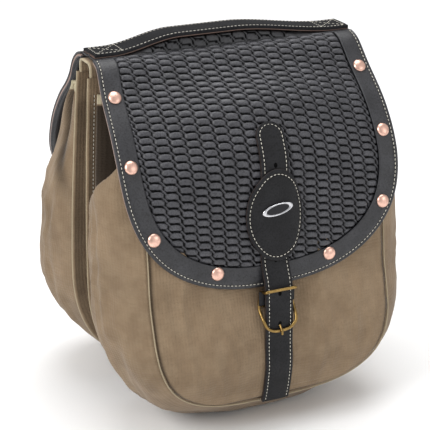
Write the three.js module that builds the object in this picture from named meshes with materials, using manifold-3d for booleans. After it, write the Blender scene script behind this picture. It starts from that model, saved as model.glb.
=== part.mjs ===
// A double saddle bag: two canvas pouches hang back to back from a canvas bridge that sits on a rack.
// Each pouch closes with an embossed leather flap, a long strap and a horseshoe buckle.
// Millimetres. X runs along the bag's width, the front pouch is at -Y, +Z is up.
// The origin is the middle of the bridge's underside, where the bag sits on the rack.
import * as THREE from 'three';
import { mergeVertices } from 'three/addons/utils/BufferGeometryUtils.js';
import Module from 'manifold-3d';

const wasm = await Module();
wasm.setup();

// ---- clearances ----
const GAP = 0.3; // between pieces that touch
const SLIDE = 0.5; // between pieces that slide on each other
const SEAM = 0.9; // between the gusset's edge and the face panel that it is sewn to

// ---- canvas bridge and ridge ----
const BRIDGE_HALF_LENGTH = 146;
const BRIDGE_HALF_DEPTH = 13; // to the inner face of each leg
const BRIDGE_CANVAS = 2.2;
const BRIDGE_LEG = 12; // how far its legs reach below the seat
const BRIDGE_BEND = 3; // inner radius of its two bends
const RIDGE_HALF_LENGTH = 142;
const RIDGE_HALF_DEPTH = 18;
const RIDGE_LEATHER = 3.5;
const RIDGE_TOP = BRIDGE_CANVAS + GAP + RIDGE_LEATHER;

// ---- handle ----
const HANDLE_HALF_LENGTH = 141;
const HANDLE_FOOT = 27; // sewn length at each end
const HANDLE_WIDTH = 31;
const HANDLE_LEATHER = 4;
const HANDLE_RISE = 12;
const HANDLE_CREST = [-52, -36]; // the arch is highest between these, left of the middle

// ---- pouch: outlines are seen from the front, heights are below the seat ----
const BACK_PANEL = { topHalf: 149, half: 156, top: -(BRIDGE_LEG + GAP), shoulder: -219, bottom: -369, power: 2.5 };
const SEAM_FLANGE = 9; // how far the back panel stands out past the gusset
const FACE_PANEL = { topHalf: 126, half: 130, top: -29.4, shoulder: -230, bottom: -337, power: 3 };
const BACK_CANVAS = 3;
const FACE_CANVAS = 2.4;
const GUSSET_CANVAS = 2.4;
const GUSSET_BULGE = 29; // how far the gusset's sides stand out at mid depth
const GUSSET_CORNER = 10; // how far its two lower corners do
const GUSSET_SAG = 20; // how far its bottom sags
const GUSSET_TUCK = 12; // how far its top folds in
const GUSSET_SPANS = { side: [0.05, 0.42], corner: [0.48, 0.72], sag: [0.76, 1] }; // shares of the way down
const GUSSET_CREST = 1.3; // above 1, it stands out most nearer the face panel
const BOARD_THICKNESS = 2.4;
const BOARD_MARGIN = 6;
const WELT_RADIUS = 1.2;
const REAR_SPLAY = 4; // degrees that the rear pouch hangs out from the ridge

// ---- flap: its leather follows one curve from the ridge down over the pouch, as [depth, height] ----
const FLAP_CURVE_POINTS = [
  [RIDGE_HALF_DEPTH, RIDGE_TOP], [31, 0], [50, -23], [80, -55], [104, -94], [121, -144], [128, -194], [131, -222],
];
const FLAP = { topHalf: 142, half: 151, top: 20, shoulder: -84, bottom: -213, power: 2.4 };
const BORDER_WIDTH = 22;
const BORDER_LEATHER = 2;
const EMBOSSED_LEATHER = 3.5;
const LINING_LEATHER = 0.6;
const LINING_GAP = 0.6; // both sheets are domed, so their facets need a little more
const LINING_INSET = 2;
// The flap's middle stands out over the full pouch: by rise, between two heights, fading towards its sides.
const FLAP_DOME = { rise: 17, start: 0, full: 52, fade: 82, end: 152, half: 126, power: 1.5 };
const FLAP_STACK = BORDER_LEATHER + EMBOSSED_LEATHER + LINING_LEATHER + GAP + LINING_GAP;

// ---- face panel below the flap, as [depth, height] ----
const POUCH_BELLY_POINTS = [[131, -244], [137, -268], [139.5, -295], [135.5, -322], [129, -345]];

// ---- rivets: one side of the flap as [half width, height], the other side mirrors it ----
const RIVET_PLACES = [[135, -24], [138, -80], [126, -147], [62, -191]];
const RIVET_RADIUS = 6.7;
const RIVET_HEIGHT = 3.4;
const RIVET_RIM = 0.8;

// ---- strap, keeper patch and badge ----
const STRAP_WIDTH = 30;
const STRAP_LEATHER = 3.4;
const STRAP_TIP = -66; // height of the round tip
const STRAP_FOOT = -334; // height of the sewn end
const STRAP_BELLY_HEIGHTS = [-275, -295, -312, -326]; // where it lies on the pouch
const STRAP_HOLE_PITCH = 32;
const STRAP_HOLE = { width: 4.5, length: 8 };
const STRAP_HOLES = 6;
const PATCH_SIDE = 16; // how far the patch reaches past the strap's edge
const PATCH = { halfWidth: STRAP_WIDTH / 2 + PATCH_SIDE, halfHeight: 44, centre: -143 };
const PATCH_LEATHER = 3;
const BADGE = { halfLength: 17, halfHeight: 6.2, thickness: 1.6, bevel: 0.6 };
const BADGE_HEIGHT = -136;
const BADGE_GAP = 1.3; // the plate is flat and the patch is curved

// ---- buckle: a horseshoe frame whose cross bar lies behind the strap ----
const WIRE_RADIUS = 1.6;
const BUCKLE_ROOM = 1.9; // between the strap's edge and the wire
const BUCKLE_HALF_WIDTH = STRAP_WIDTH / 2 + BUCKLE_ROOM + WIRE_RADIUS; // to the middle of the wire
const BUCKLE_TAPER = 2; // how much narrower the top bar is on each side
const BUCKLE_TOP = -213;
const BUCKLE_DEPTH = 144; // to the middle of the wire
const BUCKLE_DIP = 18; // height over which the frame's arms dip back to the bar
const BAR_RADIUS = 1.5;
const BAR_HEIGHT = -232;
const BUCKLE_ARM = 7; // from the bar down to where its round end starts
const BUCKLE_BOTTOM = BAR_HEIGHT - BUCKLE_ARM - BUCKLE_HALF_WIDTH;
const BAR_DEPTH = 133.4;
const PRONG_RADIUS = 1.2;
const PRONG_HOLE = BUCKLE_BOTTOM + 7; // height where the prong comes through the strap
const CHAPE_INSET = 3; // how much narrower it is than the strap on each side
const CHAPE_WIDTH = STRAP_WIDTH - 2 * CHAPE_INSET;
const CHAPE_LEATHER = 1.5;
const CHAPE_FRONT = 6; // how far its front layer runs up above the bar

// ---- materials ----
const finish = (color, roughness, metalness = 0) => new THREE.MeshStandardMaterial({ color, roughness, metalness });
const canvas = () => finish('#8b775b', 0.9);
const leather = () => finish('#2a2a2b', 0.5);
const board = () => finish('#4b4238', 0.85);
const copper = () => finish('#d39a80', 0.28, 1);
const brass = () => finish('#b08c50', 0.35, 1);
const steel = () => finish('#c9c9cb', 0.25, 1);

// ---- solids ----
function named(name, geometry, material) {
  const mesh = new THREE.Mesh(geometry, material);
  mesh.name = name;
  return mesh;
}

function welded(geometry) {
  geometry.deleteAttribute('normal');
  geometry.deleteAttribute('uv');
  return mergeVertices(geometry, 1e-4);
}

function solidOf(geometry) {
  const shape = welded(geometry);
  return new wasm.Manifold(new wasm.Mesh({
    numProp: 3,
    vertProperties: new Float32Array(shape.attributes.position.array),
    triVerts: new Uint32Array(shape.index.array),
  }));
}

function geometryOf(solid) {
  const mesh = solid.getMesh();
  const geometry = new THREE.BufferGeometry();
  geometry.setAttribute('position', new THREE.BufferAttribute(new Float32Array(mesh.vertProperties), 3));
  geometry.setIndex(new THREE.BufferAttribute(new Uint32Array(mesh.triVerts), 1));
  return geometry;
}

const cut = (geometry, ...tools) => geometryOf(tools.reduce((s, t) => s.subtract(solidOf(t)), solidOf(geometry)));
const common = (geometry, tool) => geometryOf(solidOf(geometry).intersect(solidOf(tool)));

// A bent sheet: place(u, v, w) says where each point of a unit box goes, with w through its thickness.
function sheet(columns, rows, place) {
  const geometry = welded(new THREE.BoxGeometry(1, 1, 1, columns, rows, 1));
  const spot = geometry.attributes.position;
  for (let i = 0; i < spot.count; i += 1) {
    spot.setXYZ(i, ...place(spot.getX(i) + 0.5, spot.getY(i) + 0.5, spot.getZ(i) + 0.5));
  }
  return geometry;
}

// A straight block of an outline seen from the front, between two depths.
function block(points, nearDepth, farDepth) {
  const geometry = new THREE.ExtrudeGeometry(new THREE.Shape(points), {
    depth: farDepth - nearDepth, bevelEnabled: false, curveSegments: 16,
  });
  geometry.rotateX(Math.PI / 2);
  geometry.translate(0, -nearDepth, 0);
  return geometry;
}

// A rod or cord of round section along a path.
function rod(path, radius, sides, steps) {
  const section = [];
  for (let i = 0; i < sides; i += 1) {
    const angle = (2 * Math.PI * i) / sides;
    section.push(new THREE.Vector2(radius * Math.cos(angle), radius * Math.sin(angle)));
  }
  return new THREE.ExtrudeGeometry(new THREE.Shape(section), { steps, extrudePath: path, bevelEnabled: false });
}

// A closed wire ring along a loop that runs anticlockwise as seen from the front.
function wireRing(loop, radius, steps) {
  const middle = 100;
  const geometry = welded(new THREE.TorusGeometry(middle, radius, 7, steps));
  const spot = geometry.attributes.position;
  for (let i = 0; i < spot.count; i += 1) {
    const share = (Math.atan2(spot.getY(i), spot.getX(i)) / (2 * Math.PI) + 1) % 1;
    const out = Math.hypot(spot.getX(i), spot.getY(i)) - middle;
    const point = loop.getPointAt(share);
    const along = loop.getTangentAt(share);
    spot.setXYZ(i, point.x + along.z * out, point.y - spot.getZ(i), point.z - along.x * out);
  }
  return geometry;
}

// ---- outlines ----
const lerp = THREE.MathUtils.lerp;

function inset(outline, distance) {
  return {
    ...outline,
    topHalf: outline.topHalf - distance,
    half: outline.half - distance,
    bottom: outline.bottom + distance,
  };
}

// A point on a rounded D outline: u = 0 is its top left corner, 0.5 its lowest point, 1 its top right corner.
function onOutline(outline, u) {
  const side = u < 0.5 ? -1 : 1;
  const down = 1 - Math.abs(2 * u - 1); // 0 at the top corners, 1 at the lowest point
  if (down < 0.5) {
    const along = down / 0.5;
    const half = lerp(outline.topHalf, outline.half, Math.sin((along * Math.PI) / 2));
    return new THREE.Vector2(side * half, lerp(outline.top, outline.shoulder, along));
  }
  const angle = ((down - 0.5) / 0.5) * (Math.PI / 2);
  const x = side * outline.half * Math.cos(angle) ** (2 / outline.power);
  const drop = (outline.shoulder - outline.bottom) * Math.sin(angle) ** (2 / outline.power);
  return new THREE.Vector2(x, outline.shoulder - drop);
}

function outlinePoints(outline, steps = 44) {
  const points = [];
  for (let i = 0; i <= steps; i += 1) points.push(onOutline(outline, i / steps));
  return points;
}

function ellipsePoints(halfWidth, halfHeight, centre, steps = 28) {
  const points = [];
  for (let i = 0; i < steps; i += 1) {
    const angle = (2 * Math.PI * i) / steps;
    points.push(new THREE.Vector2(halfWidth * Math.cos(angle), centre + halfHeight * Math.sin(angle)));
  }
  return points;
}

// ---- the curve that the flap and the face panel follow ----
const curveOf = (points) => new THREE.SplineCurve(points.map(([depth, height]) => new THREE.Vector2(depth, height)));
const flapCurve = curveOf(FLAP_CURVE_POINTS);

// A point of a curve, moved out along the curve's own outward direction.
function offCurve(curve, t, out) {
  const point = curve.getPoint(t);
  const tangent = curve.getTangent(t);
  return new THREE.Vector2(point.x - tangent.y * out, point.y + tangent.x * out);
}

// The share of a curve's length, and the depth, where the moved curve passes a height.
function atHeight(curve, out, height) {
  let above = 0;
  let below = 1;
  for (let i = 0; i < 40; i += 1) {
    const middle = (above + below) / 2;
    if (offCurve(curve, middle, out).y > height) above = middle;
    else below = middle;
  }
  return { t: above, depth: offCurve(curve, above, out).x };
}

const faceTop = atHeight(flapCurve, -(FLAP_STACK + SLIDE), FACE_PANEL.top + 2 * FACE_CANVAS).t;
const faceLast = atHeight(flapCurve, -(FLAP_STACK + SLIDE), FLAP.bottom).t;
const FACE_CURVE_POINTS = [];
for (let i = 0; i <= 6; i += 1) {
  const point = offCurve(flapCurve, lerp(faceTop, faceLast, i / 6), -(FLAP_STACK + SLIDE));
  FACE_CURVE_POINTS.push([point.x, point.y]);
}
const faceCurve = curveOf([...FACE_CURVE_POINTS, ...POUCH_BELLY_POINTS]);

// A sheet that follows a curve between two distances out from it, lifted by lift(x, height).
function curvedSheet(curve, halfWidth, inner, outer, rows, columns = 1, lift = () => 0) {
  return sheet(columns, rows, (u, v, w) => {
    const x = lerp(-halfWidth, halfWidth, u);
    const point = offCurve(curve, 1 - v, lerp(inner, outer, w) + lift(x, curve.getPoint(1 - v).y));
    return [x, -point.x, point.y];
  });
}

function flapDome(x, height) {
  const { rise, start, full, fade, end, half, power } = FLAP_DOME;
  const down = THREE.MathUtils.smoothstep(-height, start, full) * (1 - THREE.MathUtils.smoothstep(-height, fade, end));
  return rise * down * Math.max(1 - (x / half) ** 2, 0) ** power;
}

// A point over the domed flap, as [depth, height].
function overFlap(t, x, out) {
  return offCurve(flapCurve, t, out + flapDome(x, flapCurve.getPoint(t).y));
}

// The share of the flap's curve where a point over the domed flap passes a height.
function overFlapAt(x, out, height) {
  let above = 0;
  let below = 1;
  for (let i = 0; i < 40; i += 1) {
    const middle = (above + below) / 2;
    if (overFlap(middle, x, out).y > height) above = middle;
    else below = middle;
  }
  return above;
}

// ---- bridge, ridge leather and handle ----
function bridge() {
  const profile = new THREE.Shape();
  const outer = BRIDGE_HALF_DEPTH + BRIDGE_CANVAS;
  const bend = BRIDGE_BEND + BRIDGE_CANVAS;
  profile.moveTo(-outer, -BRIDGE_LEG);
  profile.lineTo(-BRIDGE_HALF_DEPTH, -BRIDGE_LEG);
  profile.lineTo(-BRIDGE_HALF_DEPTH, -BRIDGE_BEND);
  profile.absarc(-BRIDGE_HALF_DEPTH + BRIDGE_BEND, -BRIDGE_BEND, BRIDGE_BEND, Math.PI, Math.PI / 2, true);
  profile.absarc(BRIDGE_HALF_DEPTH - BRIDGE_BEND, -BRIDGE_BEND, BRIDGE_BEND, Math.PI / 2, 0, true);
  profile.lineTo(BRIDGE_HALF_DEPTH, -BRIDGE_LEG);
  profile.lineTo(outer, -BRIDGE_LEG);
  profile.absarc(BRIDGE_HALF_DEPTH - BRIDGE_BEND, -BRIDGE_BEND, bend, 0, Math.PI / 2, false);
  profile.absarc(-BRIDGE_HALF_DEPTH + BRIDGE_BEND, -BRIDGE_BEND, bend, Math.PI / 2, Math.PI, false);
  const geometry = new THREE.ExtrudeGeometry(profile, {
    depth: 2 * BRIDGE_HALF_LENGTH, bevelEnabled: false, curveSegments: 5,
  });
  geometry.translate(0, 0, -BRIDGE_HALF_LENGTH);
  geometry.rotateX(Math.PI / 2);
  geometry.rotateZ(Math.PI / 2);
  return named('canvas_bridge', welded(geometry), canvas());
}

function ridgeLeather() {
  const depth = 2 * (RIDGE_HALF_DEPTH - GAP);
  const geometry = new THREE.BoxGeometry(2 * RIDGE_HALF_LENGTH, depth, RIDGE_LEATHER);
  geometry.translate(0, 0, RIDGE_TOP - RIDGE_LEATHER / 2);
  return named('ridge_leather', welded(geometry), leather());
}

function handleRise(x) {
  const end = HANDLE_HALF_LENGTH - HANDLE_FOOT;
  const [left, right] = HANDLE_CREST;
  const { smoothstep } = THREE.MathUtils;
  return HANDLE_RISE * smoothstep(x, -end, left) * (1 - smoothstep(x, right, end));
}

function handle() {
  const base = RIDGE_TOP + GAP;
  const geometry = sheet(36, 1, (u, v, w) => {
    const x = lerp(-HANDLE_HALF_LENGTH, HANDLE_HALF_LENGTH, u);
    return [x, lerp(-HANDLE_WIDTH / 2, HANDLE_WIDTH / 2, v), base + handleRise(x) + HANDLE_LEATHER * w];
  });
  return named('handle', geometry, leather());
}

// ---- pouch ----
const BACK_DEPTH = BRIDGE_HALF_DEPTH;
const GUSSET_BACK = BACK_DEPTH + BACK_CANVAS + GAP;
const gussetRoot = { ...inset(BACK_PANEL, SEAM_FLANGE), top: FACE_PANEL.top };

function backPanel() {
  return block(outlinePoints(BACK_PANEL), BACK_DEPTH, BACK_DEPTH + BACK_CANVAS);
}

function backBoard() {
  const outline = inset(gussetRoot, GUSSET_CANVAS + BOARD_MARGIN);
  return block(outlinePoints(outline), GUSSET_BACK, GUSSET_BACK + BOARD_THICKNESS);
}

function facePanel() {
  const wall = curvedSheet(faceCurve, BACK_PANEL.half, -FACE_CANVAS, 0, 26);
  return common(wall, block(outlinePoints(FACE_PANEL), 0, 2 * BUCKLE_DEPTH));
}

// The gusset's bulge: it tucks in under the flap, stands out at the sides and sags at the bottom.
function gussetBulge(u, across) {
  const down = 1 - Math.abs(2 * u - 1);
  const side = lerp(-GUSSET_TUCK, GUSSET_BULGE, THREE.MathUtils.smoothstep(down, ...GUSSET_SPANS.side));
  const corner = lerp(side, GUSSET_CORNER, THREE.MathUtils.smoothstep(down, ...GUSSET_SPANS.corner));
  const amount = lerp(corner, GUSSET_SAG, THREE.MathUtils.smoothstep(down, ...GUSSET_SPANS.sag));
  return amount * Math.sin(Math.PI * across ** GUSSET_CREST);
}

function gusset() {
  const section = (u, across) => onOutline(gussetRoot, u).lerp(onOutline(FACE_PANEL, u), across);
  return sheet(56, 5, (u, v, w) => {
    const nudge = 0.002;
    const before = section(Math.max(u - nudge, 0), v);
    const after = section(Math.min(u + nudge, 1), v);
    const along = after.sub(before).normalize();
    const point = section(u, v);
    const out = gussetBulge(u, v) - GUSSET_CANVAS * (1 - w);
    const height = point.y - along.x * out;
    const faceDepth = atHeight(faceCurve, -(FACE_CANVAS + SEAM), height).depth;
    return [point.x + along.y * out, -lerp(GUSSET_BACK, faceDepth, v), height];
  });
}

// The welt is a thin seam bead round the face panel's edge.
function welt() {
  const outline = inset(FACE_PANEL, -(WELT_RADIUS + GAP));
  const points = [];
  const steps = 36;
  for (let i = 0; i <= steps; i += 1) {
    const spot = onOutline(outline, i / steps);
    const inside = onOutline(FACE_PANEL, i / steps);
    const depth = atHeight(faceCurve, -FACE_CANVAS / 2, inside.y).depth;
    points.push(new THREE.Vector3(spot.x, -depth, spot.y));
  }
  return welded(rod(new THREE.CatmullRomCurve3(points), WELT_RADIUS, 5, 44));
}

function pouch(side) {
  const group = new THREE.Group();
  group.add(named(`back_panel_${side}`, welded(backPanel()), canvas()));
  group.add(named(`back_board_${side}`, welded(backBoard()), board()));
  group.add(named(`gusset_${side}`, gusset(), canvas()));
  group.add(named(`face_panel_${side}`, facePanel(), canvas()));
  group.add(named(`welt_${side}`, welt(), canvas()));
  return group;
}

// ---- flap ----
function flapLayer(outline, inner, outer) {
  const layer = curvedSheet(flapCurve, FLAP.half + 1, inner, outer, 24, 16, flapDome);
  return common(layer, block(outlinePoints(outline), RIDGE_HALF_DEPTH + GAP, 2 * BUCKLE_DEPTH));
}

function flapPanel() {
  const outer = -(BORDER_LEATHER + GAP);
  return flapLayer(FLAP, outer - EMBOSSED_LEATHER, outer);
}

function flapBorder() {
  const window = block(outlinePoints({ ...inset(FLAP, BORDER_WIDTH), top: FLAP.top + 10 }), 0, 2 * BUCKLE_DEPTH);
  return cut(flapLayer(FLAP, -BORDER_LEATHER, 0), window);
}

function flapLining() {
  return flapLayer(inset(FLAP, LINING_INSET), -FLAP_STACK, LINING_LEATHER - FLAP_STACK);
}

// Lays a piece modelled along +Z on the flap's outer surface at a half width and a height.
function onFlap(geometry, x, height, out) {
  const t = overFlapAt(x, out, height);
  const nudge = 0.01;
  const spot = overFlap(t, x, out);
  const tangent = overFlap(t + nudge, x, out).sub(overFlap(t - nudge, x, out));
  geometry.rotateX(Math.PI / 2 - Math.atan2(tangent.x, -tangent.y));
  geometry.translate(x, -spot.x, spot.y);
  return geometry;
}

function rivet(x, height) {
  const profile = [new THREE.Vector2(0, 0), new THREE.Vector2(RIVET_RADIUS, 0)];
  const steps = 4;
  for (let i = 0; i < steps; i += 1) {
    const angle = (i / steps) * (Math.PI / 2);
    const rise = RIVET_RIM + (RIVET_HEIGHT - RIVET_RIM) * Math.sin(angle);
    profile.push(new THREE.Vector2(RIVET_RADIUS * Math.cos(angle), rise));
  }
  profile.push(new THREE.Vector2(0, RIVET_HEIGHT));
  const cap = new THREE.LatheGeometry(profile, 14);
  cap.rotateX(Math.PI / 2);
  return welded(onFlap(cap, x, height, GAP));
}

const STRAP_OUT = SLIDE; // the strap's underside over the flap
const PATCH_OVER_STRAP = STRAP_OUT + STRAP_LEATHER + SLIDE;

// The oval patch is sewn down at its sides and humps over the strap, which slides up behind it.
function patchLift(x) {
  const clear = STRAP_WIDTH / 2 + SLIDE;
  const slope = 1 - THREE.MathUtils.smoothstep(Math.abs(x), clear, PATCH.halfWidth - 4);
  return lerp(GAP, PATCH_OVER_STRAP, slope);
}

function keeperPatch() {
  const margin = 4;
  const start = overFlapAt(0, 0, PATCH.centre + PATCH.halfHeight + margin) - 0.03;
  const end = overFlapAt(0, 0, PATCH.centre - PATCH.halfHeight - margin);
  const wall = sheet(16, 14, (u, v, w) => {
    const x = lerp(-PATCH.halfWidth - 1, PATCH.halfWidth + 1, u);
    const point = overFlap(lerp(end, start, v), x, patchLift(x) + PATCH_LEATHER * w);
    return [x, -point.x, point.y];
  });
  return common(wall, block(ellipsePoints(PATCH.halfWidth, PATCH.halfHeight, PATCH.centre), 0, 2 * BUCKLE_DEPTH));
}

function badge() {
  const points = ellipsePoints(BADGE.halfLength - BADGE.bevel, BADGE.halfHeight - BADGE.bevel, 0);
  const plate = new THREE.ExtrudeGeometry(new THREE.Shape(points), {
    depth: BADGE.thickness - 2 * BADGE.bevel,
    bevelEnabled: true,
    bevelThickness: BADGE.bevel,
    bevelSize: BADGE.bevel,
    bevelSegments: 1,
  });
  plate.translate(0, 0, BADGE.bevel);
  return welded(onFlap(plate, 0, BADGE_HEIGHT, PATCH_OVER_STRAP + PATCH_LEATHER + BADGE_GAP));
}

// ---- buckle ----
// The chape is a leather loop from the flap's lower edge round the buckle's bar, with a slot for the prong.
function chape() {
  const hollow = BAR_RADIUS + GAP;
  const loop = hollow + CHAPE_LEATHER;
  const top = FLAP.bottom - GAP;
  const ring = new THREE.Shape();
  ring.moveTo(BAR_DEPTH - loop, top);
  ring.lineTo(BAR_DEPTH - loop, BAR_HEIGHT);
  ring.absarc(BAR_DEPTH, BAR_HEIGHT, loop, Math.PI, 2 * Math.PI, false);
  ring.lineTo(BAR_DEPTH + loop, BAR_HEIGHT + CHAPE_FRONT);
  ring.lineTo(BAR_DEPTH - loop + 2 * CHAPE_LEATHER, top);
  const eye = new THREE.Path();
  eye.absarc(BAR_DEPTH, BAR_HEIGHT, hollow, 0, 2 * Math.PI, true);
  ring.holes.push(eye);
  const geometry = new THREE.ExtrudeGeometry(ring, { depth: CHAPE_WIDTH, bevelEnabled: false, curveSegments: 10 });
  geometry.translate(0, 0, -CHAPE_WIDTH / 2);
  geometry.rotateX(Math.PI / 2);
  geometry.rotateZ(-Math.PI / 2);
  const slot = new THREE.BoxGeometry(PRONG_RADIUS * 2 + 2, 4 * loop, 2 * (loop + 2));
  slot.translate(0, -BAR_DEPTH, BAR_HEIGHT - 1);
  return cut(geometry, slot);
}

// The frame's arms dip back to the bar, so the strap can rise over it.
function frameDepth(height) {
  const away = Math.min(Math.abs(height - BAR_HEIGHT) / BUCKLE_DIP, 1);
  return lerp(BAR_DEPTH, BUCKLE_DEPTH, THREE.MathUtils.smoothstep(away, 0, 1));
}

function buckleFrame() {
  const round = BUCKLE_HALF_WIDTH;
  const centre = BUCKLE_BOTTOM + round;
  const top = round - BUCKLE_TAPER;
  const spots = [[0, BUCKLE_TOP], [top - 3, BUCKLE_TOP], [top, BUCKLE_TOP - 3]];
  spots.push([round - 0.5, BAR_HEIGHT + 7], [round, BAR_HEIGHT]);
  const turns = 5;
  for (let i = 0; i <= turns; i += 1) {
    const angle = (i / turns) * (Math.PI / 2);
    spots.push([round * Math.cos(angle), centre - round * Math.sin(angle)]);
  }
  const mirrored = spots.slice(1, -1).reverse().map(([x, height]) => [-x, height]);
  const at = ([x, height]) => new THREE.Vector3(x, -frameDepth(height), height);
  const loop = new THREE.CatmullRomCurve3([...spots, ...mirrored].map(at).reverse(), true);
  return wireRing(loop, WIRE_RADIUS, 40);
}

function buckleBar() {
  const half = BUCKLE_HALF_WIDTH - WIRE_RADIUS - GAP;
  const bar = new THREE.CylinderGeometry(BAR_RADIUS, BAR_RADIUS, 2 * half, 10);
  bar.rotateZ(Math.PI / 2);
  bar.translate(0, -BAR_DEPTH, BAR_HEIGHT);
  return welded(bar);
}

function buckleProng() {
  const eye = BAR_RADIUS + GAP + PRONG_RADIUS;
  const rest = BUCKLE_DEPTH + WIRE_RADIUS + GAP + PRONG_RADIUS;
  const spots = [];
  const turns = 8;
  for (let i = 0; i <= turns; i += 1) {
    const angle = lerp(0, 1.5 * Math.PI, i / turns);
    spots.push([BAR_DEPTH + eye * Math.cos(angle), BAR_HEIGHT + eye * Math.sin(angle)]);
  }
  spots.push([BAR_DEPTH + 1.2, BAR_HEIGHT - 9], [BAR_DEPTH + 2.8, PRONG_HOLE + 3.5], [rest - 5.2, PRONG_HOLE - 1.5]);
  spots.push([rest, BUCKLE_BOTTOM + 0.5], [rest + 0.2, BUCKLE_BOTTOM - 3]);
  const path = new THREE.CatmullRomCurve3(spots.map(([depth, height]) => new THREE.Vector3(0, -depth, height)));
  return welded(rod(path, PRONG_RADIUS, 6, 34));
}

// ---- strap ----
// Its underside lies on the flap, rises over the cross bar, passes behind the horseshoe and ends at the seam.
function strapCurve() {
  const points = [];
  const steps = 12;
  const last = BUCKLE_TOP + 24;
  const high = overFlapAt(0, STRAP_OUT, STRAP_TIP + 2) - 0.02;
  const low = overFlapAt(0, STRAP_OUT, last);
  for (let i = 0; i <= steps; i += 1) {
    const point = overFlap(lerp(high, low, i / steps), 0, STRAP_OUT);
    points.push([point.x, point.y]);
  }
  const overBar = BAR_DEPTH + BAR_RADIUS + GAP + 2 * PRONG_RADIUS + SLIDE;
  points.push([overBar - 2, BUCKLE_TOP + 4]);
  points.push([overBar, BAR_HEIGHT + 3]);
  points.push([overBar + 0.6, PRONG_HOLE]);
  const belly = (height) => atHeight(faceCurve, SLIDE, height).depth;
  for (const height of STRAP_BELLY_HEIGHTS) points.push([Math.max(belly(height), 0) + 0.3, height]);
  points.push([belly(STRAP_FOOT) + 0.3, STRAP_FOOT]);
  return curveOf(points);
}

function strap() {
  const half = STRAP_WIDTH / 2;
  const wall = curvedSheet(strapCurve(), half, 0, STRAP_LEATHER, 44);
  const outline = new THREE.Shape();
  outline.moveTo(-half, STRAP_FOOT - 20);
  outline.lineTo(half, STRAP_FOOT - 20);
  outline.lineTo(half, STRAP_TIP - half);
  outline.absarc(0, STRAP_TIP - half, half, 0, Math.PI, false);
  const rounded = common(wall, block(outline.getPoints(8), 0, 2 * BUCKLE_DEPTH));
  const punches = [];
  for (let i = 0; i < STRAP_HOLES; i += 1) {
    const height = PRONG_HOLE + i * STRAP_HOLE_PITCH;
    punches.push(block(ellipsePoints(STRAP_HOLE.width / 2, STRAP_HOLE.length / 2, height, 10), 0, 2 * BUCKLE_DEPTH));
  }
  return cut(rounded, ...punches);
}

function flap(side) {
  const group = new THREE.Group();
  group.add(named(`flap_lining_${side}`, flapLining(), leather()));
  group.add(named(`flap_panel_${side}`, flapPanel(), leather()));
  group.add(named(`flap_border_${side}`, flapBorder(), leather()));
  RIVET_PLACES.forEach(([x, height], i) => {
    group.add(named(`rivet_${side}_left_${i + 1}`, rivet(-x, height), copper()));
    group.add(named(`rivet_${side}_right_${i + 1}`, rivet(x, height), copper()));
  });
  group.add(named(`keeper_patch_${side}`, keeperPatch(), leather()));
  group.add(named(`badge_${side}`, badge(), steel()));
  group.add(named(`chape_${side}`, chape(), leather()));
  group.add(named(`buckle_frame_${side}`, buckleFrame(), brass()));
  group.add(named(`buckle_bar_${side}`, buckleBar(), brass()));
  group.add(named(`buckle_prong_${side}`, buckleProng(), brass()));
  group.add(named(`strap_${side}`, strap(), leather()));
  return group;
}

// ---- assembly: a half hangs from the ridge's edge and may splay out about it ----
function half(side, splay) {
  const hung = new THREE.Group();
  hung.add(pouch(side), flap(side));
  hung.position.set(0, RIDGE_HALF_DEPTH, -RIDGE_TOP);
  const hinge = new THREE.Group();
  hinge.add(hung);
  hinge.rotation.x = -THREE.MathUtils.degToRad(splay);
  hinge.position.set(0, -RIDGE_HALF_DEPTH, RIDGE_TOP);
  const turned = new THREE.Group();
  turned.add(hinge);
  return turned;
}

const bag = new THREE.Group();
bag.add(bridge(), ridgeLeather(), handle());
bag.add(half('front', 0));
const rear = half('rear', REAR_SPLAY);
rear.rotation.z = Math.PI;
bag.add(rear);

export default bag;
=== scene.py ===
"""A double saddle bag: waxed canvas pouches, basket-embossed leather flaps, straps, buckles and rivets."""

import math

import bmesh
import bpy
from bpy.props import FloatProperty, FloatVectorProperty, IntProperty, PointerProperty
from mathutils import Matrix, Vector, noise
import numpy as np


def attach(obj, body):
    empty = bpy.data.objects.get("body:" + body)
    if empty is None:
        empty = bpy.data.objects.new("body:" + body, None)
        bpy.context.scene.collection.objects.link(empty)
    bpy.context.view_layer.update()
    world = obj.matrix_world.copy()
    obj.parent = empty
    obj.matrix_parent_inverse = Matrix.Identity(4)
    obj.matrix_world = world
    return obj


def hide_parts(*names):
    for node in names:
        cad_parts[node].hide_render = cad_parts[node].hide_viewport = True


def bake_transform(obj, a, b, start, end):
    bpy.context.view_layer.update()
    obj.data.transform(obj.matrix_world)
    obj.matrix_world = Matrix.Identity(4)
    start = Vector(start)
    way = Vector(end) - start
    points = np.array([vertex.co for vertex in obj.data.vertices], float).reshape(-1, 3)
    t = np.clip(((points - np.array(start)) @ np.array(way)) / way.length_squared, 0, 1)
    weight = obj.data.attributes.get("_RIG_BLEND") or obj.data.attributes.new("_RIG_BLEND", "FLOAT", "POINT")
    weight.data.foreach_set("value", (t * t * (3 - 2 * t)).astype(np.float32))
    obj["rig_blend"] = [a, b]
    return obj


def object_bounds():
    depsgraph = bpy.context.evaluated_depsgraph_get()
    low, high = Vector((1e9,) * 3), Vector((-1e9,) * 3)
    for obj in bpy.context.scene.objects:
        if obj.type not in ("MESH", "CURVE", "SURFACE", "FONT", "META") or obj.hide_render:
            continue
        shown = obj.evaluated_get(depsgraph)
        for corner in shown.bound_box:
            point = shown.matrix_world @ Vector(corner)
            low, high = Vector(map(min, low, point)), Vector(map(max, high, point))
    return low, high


bl_info = {
    "name": "Saddle Bag",
    "version": (1, 0, 0),
    "blender": (4, 5, 0),
    "location": "3D View > Sidebar > Saddle Bag",
    "description": "Builds a canvas and leather saddle bag around its fixed frame",
    "category": "Object",
}

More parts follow.
